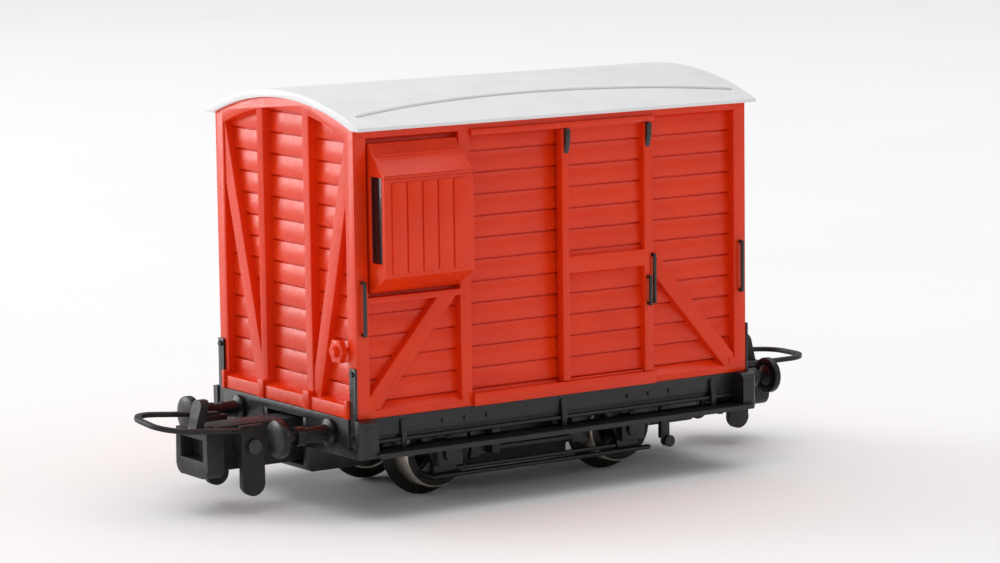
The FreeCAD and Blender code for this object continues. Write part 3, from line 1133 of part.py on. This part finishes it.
def pivot_screw():
    """The shouldered screw on which the left coupler swings, and which also holds the body down."""
    head_top = POCKET_BOTTOM + PIVOT_HEAD_DEPTH
    tip = DECK_TOP + SCREW_BLOCK_HEIGHT - SCREW_BLOCK_CAP
    profile = [(POCKET_BOTTOM, 0), (POCKET_BOTTOM, PIVOT_HEAD_RADIUS), (head_top, PIVOT_HEAD_RADIUS),
               (head_top, PIVOT_RADIUS), (FLOOR_UNDERSIDE, PIVOT_RADIUS),
               (FLOOR_UNDERSIDE, PIVOT_THREAD_RADIUS), (tip, PIVOT_THREAD_RADIUS), (tip, 0)]
    points = [V(-PIVOT_X + radius, 0, height) for height, radius in profile]
    screw = Part.Face(Part.makePolygon(points + points[:1])).revolve(V(-PIVOT_X, 0, 0), V(0, 0, 1), 360)
    slot = box((-PIVOT_X - PIVOT_RADIUS, -PIVOT_X + PIVOT_RADIUS), (-SCREW_SLOT / 2, SCREW_SLOT / 2),
               (0, POCKET_BOTTOM + PIVOT_HEAD_DEPTH / 2))
    return screw.cut(slot)


def coupler():
    """The left coupler: shank, head with its window, and the raked hook plate."""
    shank = box((-HEAD_FACE + HEAD_DEPTH - HEAD_SUNK, -PIVOT_X), (-SHANK_HALF, SHANK_HALF),
                (SHANK_BOTTOM, SHANK_TOP))
    shank = join([shank, rod(SHANK_HALF, (-PIVOT_X, 0, SHANK_BOTTOM), (-PIVOT_X, 0, SHANK_TOP))])
    head = box((-HEAD_FACE, -HEAD_FACE + HEAD_DEPTH), (-HEAD_HALF, HEAD_HALF), HEAD_Z)
    head = soften(head, HEAD_ROUND, lambda e: near(e.CenterOfMass.z, HEAD_Z[0])
                  and near(abs(e.CenterOfMass.y), HEAD_HALF))
    window = box((-HEAD_FACE - 1, -HEAD_FACE + HEAD_DEPTH - HEAD_WINDOW_BACK),
                 (-HEAD_WINDOW_HALF, HEAD_WINDOW_HALF), HEAD_WINDOW_Z)
    boss = rod(LOOP_BOSS_RADIUS, (-LOOP_X, -HEAD_HALF, LOOP_Z), (-LOOP_X, HEAD_HALF, LOOP_Z))
    foot = -HEAD_FACE
    outline = [(foot, HEAD_Z[1] - HEAD_SUNK), (foot + HOOK_THICKNESS, HEAD_Z[1] - HEAD_SUNK),
               (foot + HOOK_THICKNESS + HOOK_RAKE, HOOK_TOP), (foot + HOOK_RAKE, HOOK_TOP)]
    hook = plate_xz(outline, (-HOOK_HALF, HOOK_HALF))
    hook = soften(hook, HOOK_ROUND, lambda e: near(e.CenterOfMass.z, HOOK_TOP)
                  and near(abs(e.CenterOfMass.y), HOOK_HALF))
    body = join([shank, head.cut(window), boss, hook])
    cuts = [rod(PIVOT_RADIUS + RUNNING_GAP, (-PIVOT_X, 0, 0), (-PIVOT_X, 0, BODY_BOTTOM)),
            rod(LOOP_PIN_RADIUS, (-LOOP_X, -HALF_W, LOOP_Z), (-LOOP_X, HALF_W, LOOP_Z))]
    return body.cut(cuts)


def loop_pin():
    """The cross pin of the left coupling loop, headed at both ends."""
    out = TONGUE_OUTER + RUNNING_GAP
    pin = rod(LOOP_PIN_RADIUS, (-LOOP_X, -out, LOOP_Z), (-LOOP_X, out, LOOP_Z))
    end = out + LOOP_PIN_LIP
    head = rod(LOOP_PIN_RADIUS + LOOP_PIN_LIP, (-LOOP_X, out, LOOP_Z), (-LOOP_X, end, LOOP_Z))
    return join([pin, head, flip_y(head)])


def loop_ring(lift, twist):
    """The wire ring of the left loop, raised and leaned by two small angles in degrees."""
    z = (RING_Z - RING_THICKNESS / 2, RING_Z + RING_THICKNESS / 2)
    rear = -LOOP_X + RING_REAR

    def slab(inset, radius):
        block = box((-RING_FRONT + inset, rear + inset), (-RING_OUTER + inset, RING_OUTER - inset), z)
        return soften(block, radius, lambda e: near(e.CenterOfMass.x, -RING_FRONT + inset)
                      and near(abs(e.CenterOfMass.y), RING_OUTER - inset))

    ring = slab(0, RING_CORNER).cut(slab(RING_BAR, RING_CORNER - RING_BAR))
    ring.rotate(V(-LOOP_X, 0, RING_Z), V(0, 1, 0), lift)
    ring.rotate(V(-LOOP_X, 0, RING_Z), V(1, 0, 0), twist)
    return ring


def coupling_loop(lift, twist):
    """The left coupling loop: a ring with two hanging tongues that carry its pivot holes."""
    pieces = [loop_ring(lift, twist)]
    for side in (-1, 1):
        y = (side * TONGUE_INNER, side * TONGUE_OUTER)
        low = LOOP_Z - TONGUE_DROP + TONGUE_HALF_WIDTH
        plate = box((-LOOP_X - TONGUE_HALF_WIDTH, -LOOP_X + TONGUE_HALF_WIDTH), y,
                    (low, LOOP_Z + TONGUE_RISE))
        foot = rod(TONGUE_HALF_WIDTH, (-LOOP_X, y[0], low), (-LOOP_X, y[1], low))
        pieces += [plate, foot]
    body = join(pieces)
    return body.cut(rod(LOOP_PIN_RADIUS + RUNNING_GAP, (-LOOP_X, -HALF_W, LOOP_Z), (-LOOP_X, HALF_W, LOOP_Z)))


# ---- hand brake wheel ---------------------------------------------------------------------------
def handwheel():
    """The lobed wheel of the hand brake on the left end, moulded in one with its spindle."""
    start = -HALF_L - HANDWHEEL_STANDOFF
    end = start - HANDWHEEL_THICKNESS
    tip = end - HANDWHEEL_HUB_LENGTH

    def post(radius, near_end, far_end, y=HANDWHEEL_Y, z=HANDWHEEL_Z):
        return rod(radius, (near_end, y, z), (far_end, y, z))

    pieces = [post(HANDWHEEL_RADIUS, start, end), post(HANDWHEEL_HUB_RADIUS, end, tip),
              post(SPINDLE_RADIUS, -PLANK_X + SPINDLE_SUNK, tip),
              post(SPINDLE_RADIUS + SPINDLE_CAP, tip, tip - SPINDLE_CAP)]
    for i in range(HANDWHEEL_LOBES):
        turn = math.radians(360 * i / HANDWHEEL_LOBES)
        reach = HANDWHEEL_RADIUS - HANDWHEEL_LOBE_SET
        pieces.append(post(HANDWHEEL_LOBE, start, end, HANDWHEEL_Y + reach * math.cos(turn),
                           HANDWHEEL_Z + reach * math.sin(turn)))
    return join(pieces)


def ballast_weight():
    """The steel weight on the deck inside the body."""
    half_length = PIVOT_X - SCREW_BLOCK_WIDTH / 2 - BALLAST_END_GAP
    half_width = INNER_Y - BALLAST_SIDE_GAP
    return box((-half_length, half_length), (-half_width, half_width),
               (DECK_TOP, DECK_TOP + BALLAST_THICKNESS))


# ---- assembly -----------------------------------------------------------------------------------
def add(name, shape):
    """Keep one named piece."""
    NODES[name] = shape


def add_sides(name, shape):
    """Keep a near piece and its mirror image on the far side."""
    add(name + "_near", shape)
    add(name + "_far", flip_y(shape))


def add_ends(name, shape):
    """Keep a left piece and its mirror image at the right end."""
    add(name + "_left", shape)
    add(name + "_right", flip_x(shape))


def build():
    """Make every node."""
    add_body_panels()
    add("screw_blocks", screw_blocks())
    add("roof", roof())
    add("rain_strips", rain_strips())
    add_sides("ducket", ducket())
    add("ducket_glazing", ducket_glazing())
    add_sides("door_rail_top", door_rail(True))
    add_sides("door_rail_bottom", door_rail(False))
    add_sides("door", door())
    add_sides("door_hangers", door_hangers())
    add_sides("door_handle", grab_rail(DOOR[1] - DOOR_GRAB_INSET, DOOR_GRAB, DOOR_FRONT))
    add("handrails", handrails())
    add("corner_straps", corner_straps())
    add("handwheel", handwheel())
    add("chassis_floor", chassis_floor())
    add("ballast_weight", ballast_weight())
    add_ends("headstock", headstock())
    add_sides("solebar", solebar())
    add_sides("footboard", footboard())
    add("footboard_brackets", footboard_brackets())
    add_sides("axle_guard_left", axle_guard(-AXLE_X))
    add_sides("axle_guard_right", axle_guard(AXLE_X))
    add("bearing_cups", bearing_cups())
    add_sides("tie_bar", tie_bar())
    add_sides("brake_gear", brake_gear())
    for end, x in (("left", -AXLE_X), ("right", AXLE_X)):
        add("axle_" + end, axle(x))
        add_sides("wheel_" + end, tyre(x))
        centre = wheel_centre(x)
        add("wheel_centres_" + end, group([centre, flip_y(centre)]))
    add("buffer_housings", group(four_corners(buffer_housing())))
    add("buffer_heads", group(four_corners(buffer_head())))
    add_ends("coupler_pocket", coupler_pocket())
    screw = pivot_screw()
    add("pivot_screws", group([screw, flip_x(screw)]))
    add_ends("coupler", coupler())
    add_ends("loop_pin", loop_pin())
    add("coupling_loop_left", coupling_loop(LEFT_RING_LIFT, LEFT_RING_TWIST))
    add("coupling_loop_right", flip_x(coupling_loop(0, 0)))


build()
os.makedirs("parts", exist_ok=True)
for node, solid in NODES.items():
    solid.exportStep("parts/" + node + ".step")
    state = "ok" if solid.isValid() else "NOT VALID"
    print(node, len(solid.Solids), "solids", round(solid.Volume, 2), "mm3", state)
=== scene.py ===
"""Looks of the narrow-gauge brake van: finished edges, procedural materials, small details, studio.

Lengths are named in millimetres and turned into metres where a mesh, light or camera is made.
"""

import json
import math

import bmesh
import bpy
from mathutils import Matrix, Vector

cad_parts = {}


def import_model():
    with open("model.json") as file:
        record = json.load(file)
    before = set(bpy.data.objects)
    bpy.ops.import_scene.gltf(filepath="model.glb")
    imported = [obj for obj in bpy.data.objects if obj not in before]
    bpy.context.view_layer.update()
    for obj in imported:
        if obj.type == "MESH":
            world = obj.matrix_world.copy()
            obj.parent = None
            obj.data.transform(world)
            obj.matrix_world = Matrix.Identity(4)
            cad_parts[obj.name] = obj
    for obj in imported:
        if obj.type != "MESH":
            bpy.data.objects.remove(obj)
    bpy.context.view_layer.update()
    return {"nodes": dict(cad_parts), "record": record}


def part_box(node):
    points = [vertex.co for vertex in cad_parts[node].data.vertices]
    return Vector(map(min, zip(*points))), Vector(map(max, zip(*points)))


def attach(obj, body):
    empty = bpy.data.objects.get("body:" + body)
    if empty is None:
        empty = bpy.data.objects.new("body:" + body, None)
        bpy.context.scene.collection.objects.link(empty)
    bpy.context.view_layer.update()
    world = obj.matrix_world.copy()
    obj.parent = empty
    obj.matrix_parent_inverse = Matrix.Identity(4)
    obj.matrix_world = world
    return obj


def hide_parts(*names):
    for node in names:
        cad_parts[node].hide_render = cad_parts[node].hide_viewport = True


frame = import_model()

MM = 0.001

# ---- colours, linear -----------------------------------------------------------------------------
RED = (0.84, 0.042, 0.003)
RED_DEEP = (0.76, 0.034, 0.003)
ROOF_GREY = (0.85, 0.85, 0.86)
ROOF_SHADE = (0.79, 0.79, 0.80)
CHASSIS_BLACK = (0.008, 0.008, 0.009)
CHASSIS_DUST = (0.015, 0.014, 0.014)
COUPLER_BLACK = (0.022, 0.021, 0.023)
COUPLER_DUST = (0.034, 0.032, 0.033)
BUFFER_BLACK = (0.006, 0.006, 0.007)
BUFFER_DUST = (0.010, 0.010, 0.010)
ENAMEL_BLACK = (0.008, 0.008, 0.009)
GLAZING = (0.006, 0.007, 0.008)
TYRE_DARK = (0.018, 0.017, 0.016)
TYRE_WORN = (0.030, 0.028, 0.026)
# painted highlight colour for the ring on the tyre's outer chamfer
TYRE_HIGHLIGHT = (0.62, 0.55, 0.47)
STEEL = (0.50, 0.50, 0.52)
BRASS = (0.62, 0.42, 0.14)
FLOOR_WHITE = (0.93, 0.93, 0.93)


# ---- material helpers ----------------------------------------------------------------------------
class Shader:
    """A Principled material with a few short ways to add procedural detail."""

    def __init__(self, name, **values):
        self.material = bpy.data.materials.new(name)
        self.material.use_nodes = True
        self.tree = self.material.node_tree
        self.nodes = self.tree.nodes
        self.bsdf = self.nodes["Principled BSDF"]
        self.place = self.nodes.new("ShaderNodeTexCoord").outputs["Object"]
        for socket, value in values.items():
            self.bsdf.inputs[socket.replace("_", " ")].default_value = value

    def link(self, source, target):
        self.tree.links.new(source, target)

    def stretched(self, scale):
        """Object coordinates in millimetres, multiplied along each axis."""
        mapping = self.nodes.new("ShaderNodeMapping")
        mapping.inputs["Scale"].default_value = [s / MM for s in scale]
        self.link(self.place, mapping.inputs["Vector"])
        return mapping.outputs["Vector"]

    def noise(self, per_mm, detail=3.0, stretch=(1, 1, 1)):
        """Noise with about per_mm features in a millimetre."""
        node = self.nodes.new("ShaderNodeTexNoise")
        node.inputs["Scale"].default_value = per_mm
        node.inputs["Detail"].default_value = detail
        self.link(self.stretched(stretch), node.inputs["Vector"])
        return node.outputs["Fac"]

    def spread(self, value, low, high, start=0.3, end=0.7):
        """Maps a 0..1 pattern to low..high."""
        node = self.nodes.new("ShaderNodeMapRange")
        for name, number in (("From Min", start), ("From Max", end), ("To Min", low), ("To Max", high)):
            node.inputs[name].default_value = number
        self.link(value, node.inputs["Value"])
        return node.outputs["Result"]

    def blend(self, factor, first, second):
        """Mixes two colours, or a colour and a socket, by a factor."""
        node = self.nodes.new("ShaderNodeMix")
        node.data_type = "RGBA"
        self.link(factor, node.inputs["Factor"])
        for name, colour in (("A", first), ("B", second)):
            socket = [s for s in node.inputs if s.name == name and s.type == "RGBA"][0]
            if isinstance(colour, tuple):
                socket.default_value = (*colour, 1)
            else:
                self.link(colour, socket)
        return [s for s in node.outputs if s.type == "RGBA"][0]

    def math(self, operation, first, second=0.0):
        node = self.nodes.new("ShaderNodeMath")
        node.operation = operation
        for socket, value in zip(node.inputs, (first, second)):
            if isinstance(value, (int, float)):
                socket.default_value = value
            else:
                self.link(value, socket)
        return node.outputs["Value"]

    def colour(self, socket):
        self.link(socket, self.bsdf.inputs["Base Color"])

    def roughness(self, socket):
        self.link(socket, self.bsdf.inputs["Roughness"])

    def bump(self, height, depth_mm, strength=1.0):
        """A bump of depth_mm for a 0..1 height, added on top of any bump already there."""
        node = self.nodes.new("ShaderNodeBump")
        node.inputs["Distance"].default_value = depth_mm * MM
        node.inputs["Strength"].default_value = strength
        self.link(height, node.inputs["Height"])
        normal = self.bsdf.inputs["Normal"]
        if normal.is_linked:
            self.link(normal.links[0].from_socket, node.inputs["Normal"])
        self.link(node.outputs["Normal"], normal)


# ---- materials -----------------------------------------------------------------------------------
def red_plastic():
    """Glossy red moulding: slow colour drift, faint orange peel, fine moulding grain."""
    s = Shader("red_plastic", Specular_IOR_Level=0.34, Roughness=0.3)
    drift = s.noise(0.22, 2.0)
    s.colour(s.blend(s.spread(drift, 0.0, 1.0), RED, RED_DEEP))
    s.roughness(s.spread(s.noise(1.4, 4.0), 0.24, 0.36))
    s.bump(s.noise(2.6, 2.0), 0.006)
    s.bump(s.noise(16.0, 3.0), 0.0012)
    return s.material


def roof_plastic():
    """Pale grey satin moulding with a fine even texture."""
    s = Shader("roof_plastic", Specular_IOR_Level=0.45, Roughness=0.42)
    s.colour(s.blend(s.spread(s.noise(0.35, 3.0), 0.0, 0.8), ROOF_GREY, ROOF_SHADE))
    s.roughness(s.spread(s.noise(2.0, 4.0), 0.36, 0.52))
    s.bump(s.noise(9.0, 3.0), 0.004)
    s.bump(s.noise(0.5, 1.0), 0.03)
    return s.material


def black_plastic(name, base, dust, rough, grain_mm, shine=0.5):
    """Black moulding: slight dusty greying on top of a fine grain."""
    s = Shader(name, Specular_IOR_Level=shine, Roughness=rough)
    s.colour(s.blend(s.spread(s.noise(0.9, 5.0), 0.0, 1.0, 0.42, 0.75), base, dust))
    s.roughness(s.spread(s.noise(2.5, 4.0), rough - 0.07, rough + 0.10))
    s.bump(s.noise(12.0, 3.0), grain_mm)
    s.bump(s.noise(1.7, 2.0), 0.008)
    return s.material


def enamel_black():
    """Thin black enamel on wire and straps."""
    s = Shader("enamel_black", Specular_IOR_Level=0.5, Roughness=0.3, Coat_Weight=0.25)
    s.colour(s.blend(s.spread(s.noise(1.5, 4.0), 0.0, 1.0), ENAMEL_BLACK, CHASSIS_DUST))
    s.roughness(s.spread(s.noise(4.0, 3.0), 0.25, 0.42))
    s.bump(s.noise(7.0, 2.0), 0.004)
    return s.material


def dark_glazing():
    """Smooth black window insert with a soft unevenness."""
    s = Shader("dark_glazing", Specular_IOR_Level=0.5, Roughness=0.12)
    s.colour(s.blend(s.spread(s.noise(0.8, 3.0), 0.0, 1.0), GLAZING, CHASSIS_BLACK))
    s.roughness(s.spread(s.noise(3.0, 3.0), 0.10, 0.22))
    s.bump(s.noise(1.2, 1.0), 0.004)
    return s.material


def wheel_metal(name, axle_x, axle_z, bright_from, bright_to):
    """Blackened tyre, turned in fine rings, with a painted highlight ring between two radii where the
    outer chamfer catches the light.
    """
    s = Shader(name, Metallic=0.85, Roughness=0.35)
    split = s.nodes.new("ShaderNodeSeparateXYZ")
    s.link(s.stretched((1, 1, 1)), split.inputs["Vector"])
    across = s.math("POWER", s.math("SUBTRACT", split.outputs["X"], axle_x), 2.0)
    up = s.math("POWER", s.math("SUBTRACT", split.outputs["Z"], axle_z), 2.0)
    radius = s.math("SQRT", s.math("ADD", across, up))
    wobble = s.math("MULTIPLY", s.math("SUBTRACT", s.noise(1.2, 2.0), 0.5), 0.05)
    ring = s.math("ADD", radius, wobble)
    # painted highlight: the ring between the two radii is coloured bright where the outer chamfer
    # catches the light
    inside = s.spread(ring, 0.0, 1.0, bright_from, bright_from + 0.05)
    outside = s.spread(ring, 1.0, 0.0, bright_to - 0.05, bright_to)
    painted_highlight = s.math("MULTIPLY", inside, outside)
    dark = s.blend(s.spread(s.noise(1.6, 5.0), 0.0, 1.0), TYRE_DARK, TYRE_WORN)
    s.colour(s.blend(painted_highlight, dark, TYRE_HIGHLIGHT))
    s.roughness(s.spread(s.noise(3.0, 3.0), 0.28, 0.45))
    rings = s.math("SINE", s.math("MULTIPLY", radius, 90.0))
    s.bump(rings, 0.0015)
    return s.material


def turned_metal(name, colour, rough, grain):
    """Turned metal with fine lathe marks; grain is the stretch of the marks along each axis."""
    s = Shader(name, Metallic=1.0, Roughness=rough)
    tarnish = s.spread(s.noise(1.1, 4.0), 0.0, 0.6)
    s.colour(s.blend(tarnish, colour, tuple(c * 0.62 for c in colour)))
    s.roughness(s.spread(s.noise(2.0, 3.0), rough - 0.06, rough + 0.10))
    s.bump(s.noise(2.0, 2.0, grain), 0.003)
    return s.material


def floor_material():
    """Plain pale studio floor."""
    s = Shader("floor_pale", Specular_IOR_Level=0.1, Roughness=0.9)
    shade = tuple(c * 0.985 for c in FLOOR_WHITE)
    s.colour(s.blend(s.spread(s.noise(0.02, 2.0), 0.0, 1.0), FLOOR_WHITE, shade))
    return s.material


# ---- which material each slot takes --------------------------------------------------------------
AXLE_HEIGHT = 3.60
slot_material = {
    "body_red": red_plastic(),
    "roof_grey": roof_plastic(),
    "chassis_black": black_plastic("chassis_black", CHASSIS_BLACK, CHASSIS_DUST, 0.36, 0.003),
    "coupler_black": black_plastic("coupler_black", COUPLER_BLACK, COUPLER_DUST, 0.42, 0.0025, 0.22),
    "wheel_centre": black_plastic("wheel_centre_black", CHASSIS_BLACK, CHASSIS_DUST, 0.42, 0.003),
    "fitting_black": enamel_black(),
    "glazing_dark": dark_glazing(),
    "axle_steel": turned_metal("axle_steel", STEEL, 0.25, (1, 20, 1)),
    "cup_brass": turned_metal("cup_brass", BRASS, 0.30, (1, 20, 1)),
    "ballast_steel": turned_metal("ballast_steel", tuple(c * 0.6 for c in STEEL), 0.45, (0.2, 12, 3)),
    "screw_steel": turned_metal("screw_steel", tuple(c * 0.5 for c in STEEL), 0.30, (1, 1, 20)),
}


def centre_x(node):
    """Middle of a node along x, in millimetres."""
    low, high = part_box(node)
    return (low.x + high.x) / 2 / MM


buffer_material = black_plastic("buffer_black", BUFFER_BLACK, BUFFER_DUST, 0.30, 0.0025, 0.32)
tyre_material = {end: wheel_metal("tyre_" + end, centre_x("axle_" + end), AXLE_HEIGHT, 2.66, 2.86)
                 for end in ("left", "right")}

# ---- finished pieces -----------------------------------------------------------------------------
EDGE = {"body_red": 0.05, "roof_grey": 0.09, "chassis_black": 0.06, "coupler_black": 0.08,
        "wheel_centre": 0.05, "fitting_black": 0.05, "glazing_dark": 0.03, "axle_steel": 0.05,
        "cup_brass": 0.04, "ballast_steel": 0.15, "screw_steel": 0.04, "wheel_metal": 0.05}
SHARP = math.radians(28)             # edges bent more than this are rounded and stay crisp in shading
FLAT = math.radians(0.6)             # faces bent less than this become one
SAME_POINT = 1e-7                    # metres
SHORTEST = 2.2                       # an edge to be rounded is longer than this many edge widths
BEVEL_STEPS = 2
SEAM_REACH = 0.001                   # millimetres
body_of = {n: b for b, members in frame["record"]["behaviour"]["bodies"].items() for n in members}
slot_of = {row["node"]: row["material_slot"] for row in frame["record"]["subparts"]}
seam_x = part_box("body_side_near")[1].x


def on_seam(edge):
    """Whether an edge lies on a plane where the sides and the ends of the body meet."""
    return all(abs(abs(v.co.x) - seam_x) < SEAM_REACH * MM for v in edge.verts)


def finished_mesh(node, edge_mm):
    """The node's mesh with its flat faces made whole and its outer edges rounded."""
    bm = bmesh.new()
    bm.from_mesh(frame["nodes"][node].data)
    bmesh.ops.remove_doubles(bm, verts=bm.verts, dist=SAME_POINT)
    bmesh.ops.dissolve_limit(bm, angle_limit=FLAT, verts=bm.verts, edges=bm.edges)
    bm.normal_update()
    short = SHORTEST * edge_mm * MM
    outer = [e for e in bm.edges if e.is_manifold and e.is_convex and e.calc_face_angle() > SHARP
             and e.calc_length() > short and not (node.startswith("body_") and on_seam(e))]
    bmesh.ops.bevel(bm, geom=outer, offset=edge_mm * MM, offset_type="OFFSET", segments=BEVEL_STEPS,
                    profile=0.5, affect="EDGES", clamp_overlap=False, loop_slide=True)
    bm.normal_update()
    for face in bm.faces:
        face.smooth = True
    for e in bm.edges:
        e.smooth = not (e.is_manifold and e.calc_face_angle() > SHARP)
    mesh = bpy.data.meshes.new(node + "_finished")
    bm.to_mesh(mesh)
    bm.free()
    return mesh


def finish_node(node):
    """Show a node as a piece with rounded edges and its slot's material."""
    slot = slot_of[node]
    piece = bpy.data.objects.new(node + "_finished", finished_mesh(node, EDGE[slot]))
    bpy.context.scene.collection.objects.link(piece)
    if slot == "wheel_metal":
        material = tyre_material["left" if "_left_" in node else "right"]
    elif node.startswith("buffer_"):
        material = buffer_material
    else:
        material = slot_material[slot]
    piece.data.materials.clear()
    piece.data.materials.append(material)
    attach(piece, body_of[node])
    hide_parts(node)
    return piece


for node_name in sorted(frame["nodes"]):
    finish_node(node_name)

# ---- studio --------------------------------------------------------------------------------------
CAMERA_AT = (-152.322, -225.587, 52.607)
CAMERA_AZIMUTH = -34.282
CAMERA_ELEVATION = 7.931
CAMERA_ROLL = -0.761
CAMERA_LENS = 130.58
SENSOR_WIDTH = 36.0
CLIP = (0.01, 20)                    # metres
LIGHT_AIM = (0, 0, 15)
FLOOR_RADIUS = 4.0                   # metres
FLOOR_SIDES = 96
WORLD_GREY = 0.46
LIGHTS = (("top_box", (60, 120, 1200), (1600, 1600), 10.5),
          ("left_box", (-360, 480, 150), (360, 260), 1.75),
          ("right_box", (420, -420, 300), (300, 300), 0.30))


def camera():
    """The camera, its axes built from azimuth, elevation and roll."""
    a, e, r = (math.radians(v) for v in (CAMERA_AZIMUTH, CAMERA_ELEVATION, CAMERA_ROLL))
    back = Vector((math.sin(a) * math.cos(e), -math.cos(a) * math.cos(e), math.sin(e)))
    right = Vector((math.cos(a), math.sin(a), 0))
    up = back.cross(right)
    right, up = math.cos(r) * right + math.sin(r) * up, math.cos(r) * up - math.sin(r) * right
    data = bpy.data.cameras.new("camera")
    data.lens = CAMERA_LENS
    data.sensor_width = SENSOR_WIDTH
    data.clip_start, data.clip_end = CLIP
    cam = bpy.data.objects.new("camera", data)
    turn = Matrix((right, up, back)).transposed()
    cam.matrix_world = Matrix.Translation(Vector(CAMERA_AT) * MM) @ turn.to_4x4()
    bpy.context.scene.collection.objects.link(cam)
    bpy.context.scene.camera = cam


def softbox(name, at, size, power):
    """A square area light at a point in millimetres, aimed at the van."""
    data = bpy.data.lights.new(name, "AREA")
    data.shape = "RECTANGLE"
    data.size, data.size_y = (s * MM for s in size)
    data.energy = power
    lamp = bpy.data.objects.new(name, data)
    lamp.location = Vector(at) * MM
    lamp.rotation_mode = "QUATERNION"
    lamp.rotation_quaternion = (Vector(at) - Vector(LIGHT_AIM)).to_track_quat("Z", "Y")
    bpy.context.scene.collection.objects.link(lamp)


def floor():
    """A wide pale disc under the wheels."""
    mesh = bpy.data.meshes.new("floor")
    bm = bmesh.new()
    bmesh.ops.create_circle(bm, cap_ends=True, segments=FLOOR_SIDES, radius=FLOOR_RADIUS)
    bm.to_mesh(mesh)
    bm.free()
    mesh.materials.append(floor_material())
    disc = bpy.data.objects.new("floor", mesh)
    bpy.context.scene.collection.objects.link(disc)


def world(grey):
    """An even pale surround."""
    sky = bpy.data.worlds.new("studio")
    bpy.context.scene.world = sky
    sky.use_nodes = True
    sky.node_tree.nodes["Background"].inputs["Color"].default_value = (grey, grey, grey, 1)


camera()
floor()
world(WORLD_GREY)
for name, at, size, power in LIGHTS:
    softbox(name, at, size, power)
bpy.context.scene.view_settings.view_transform = "Standard"
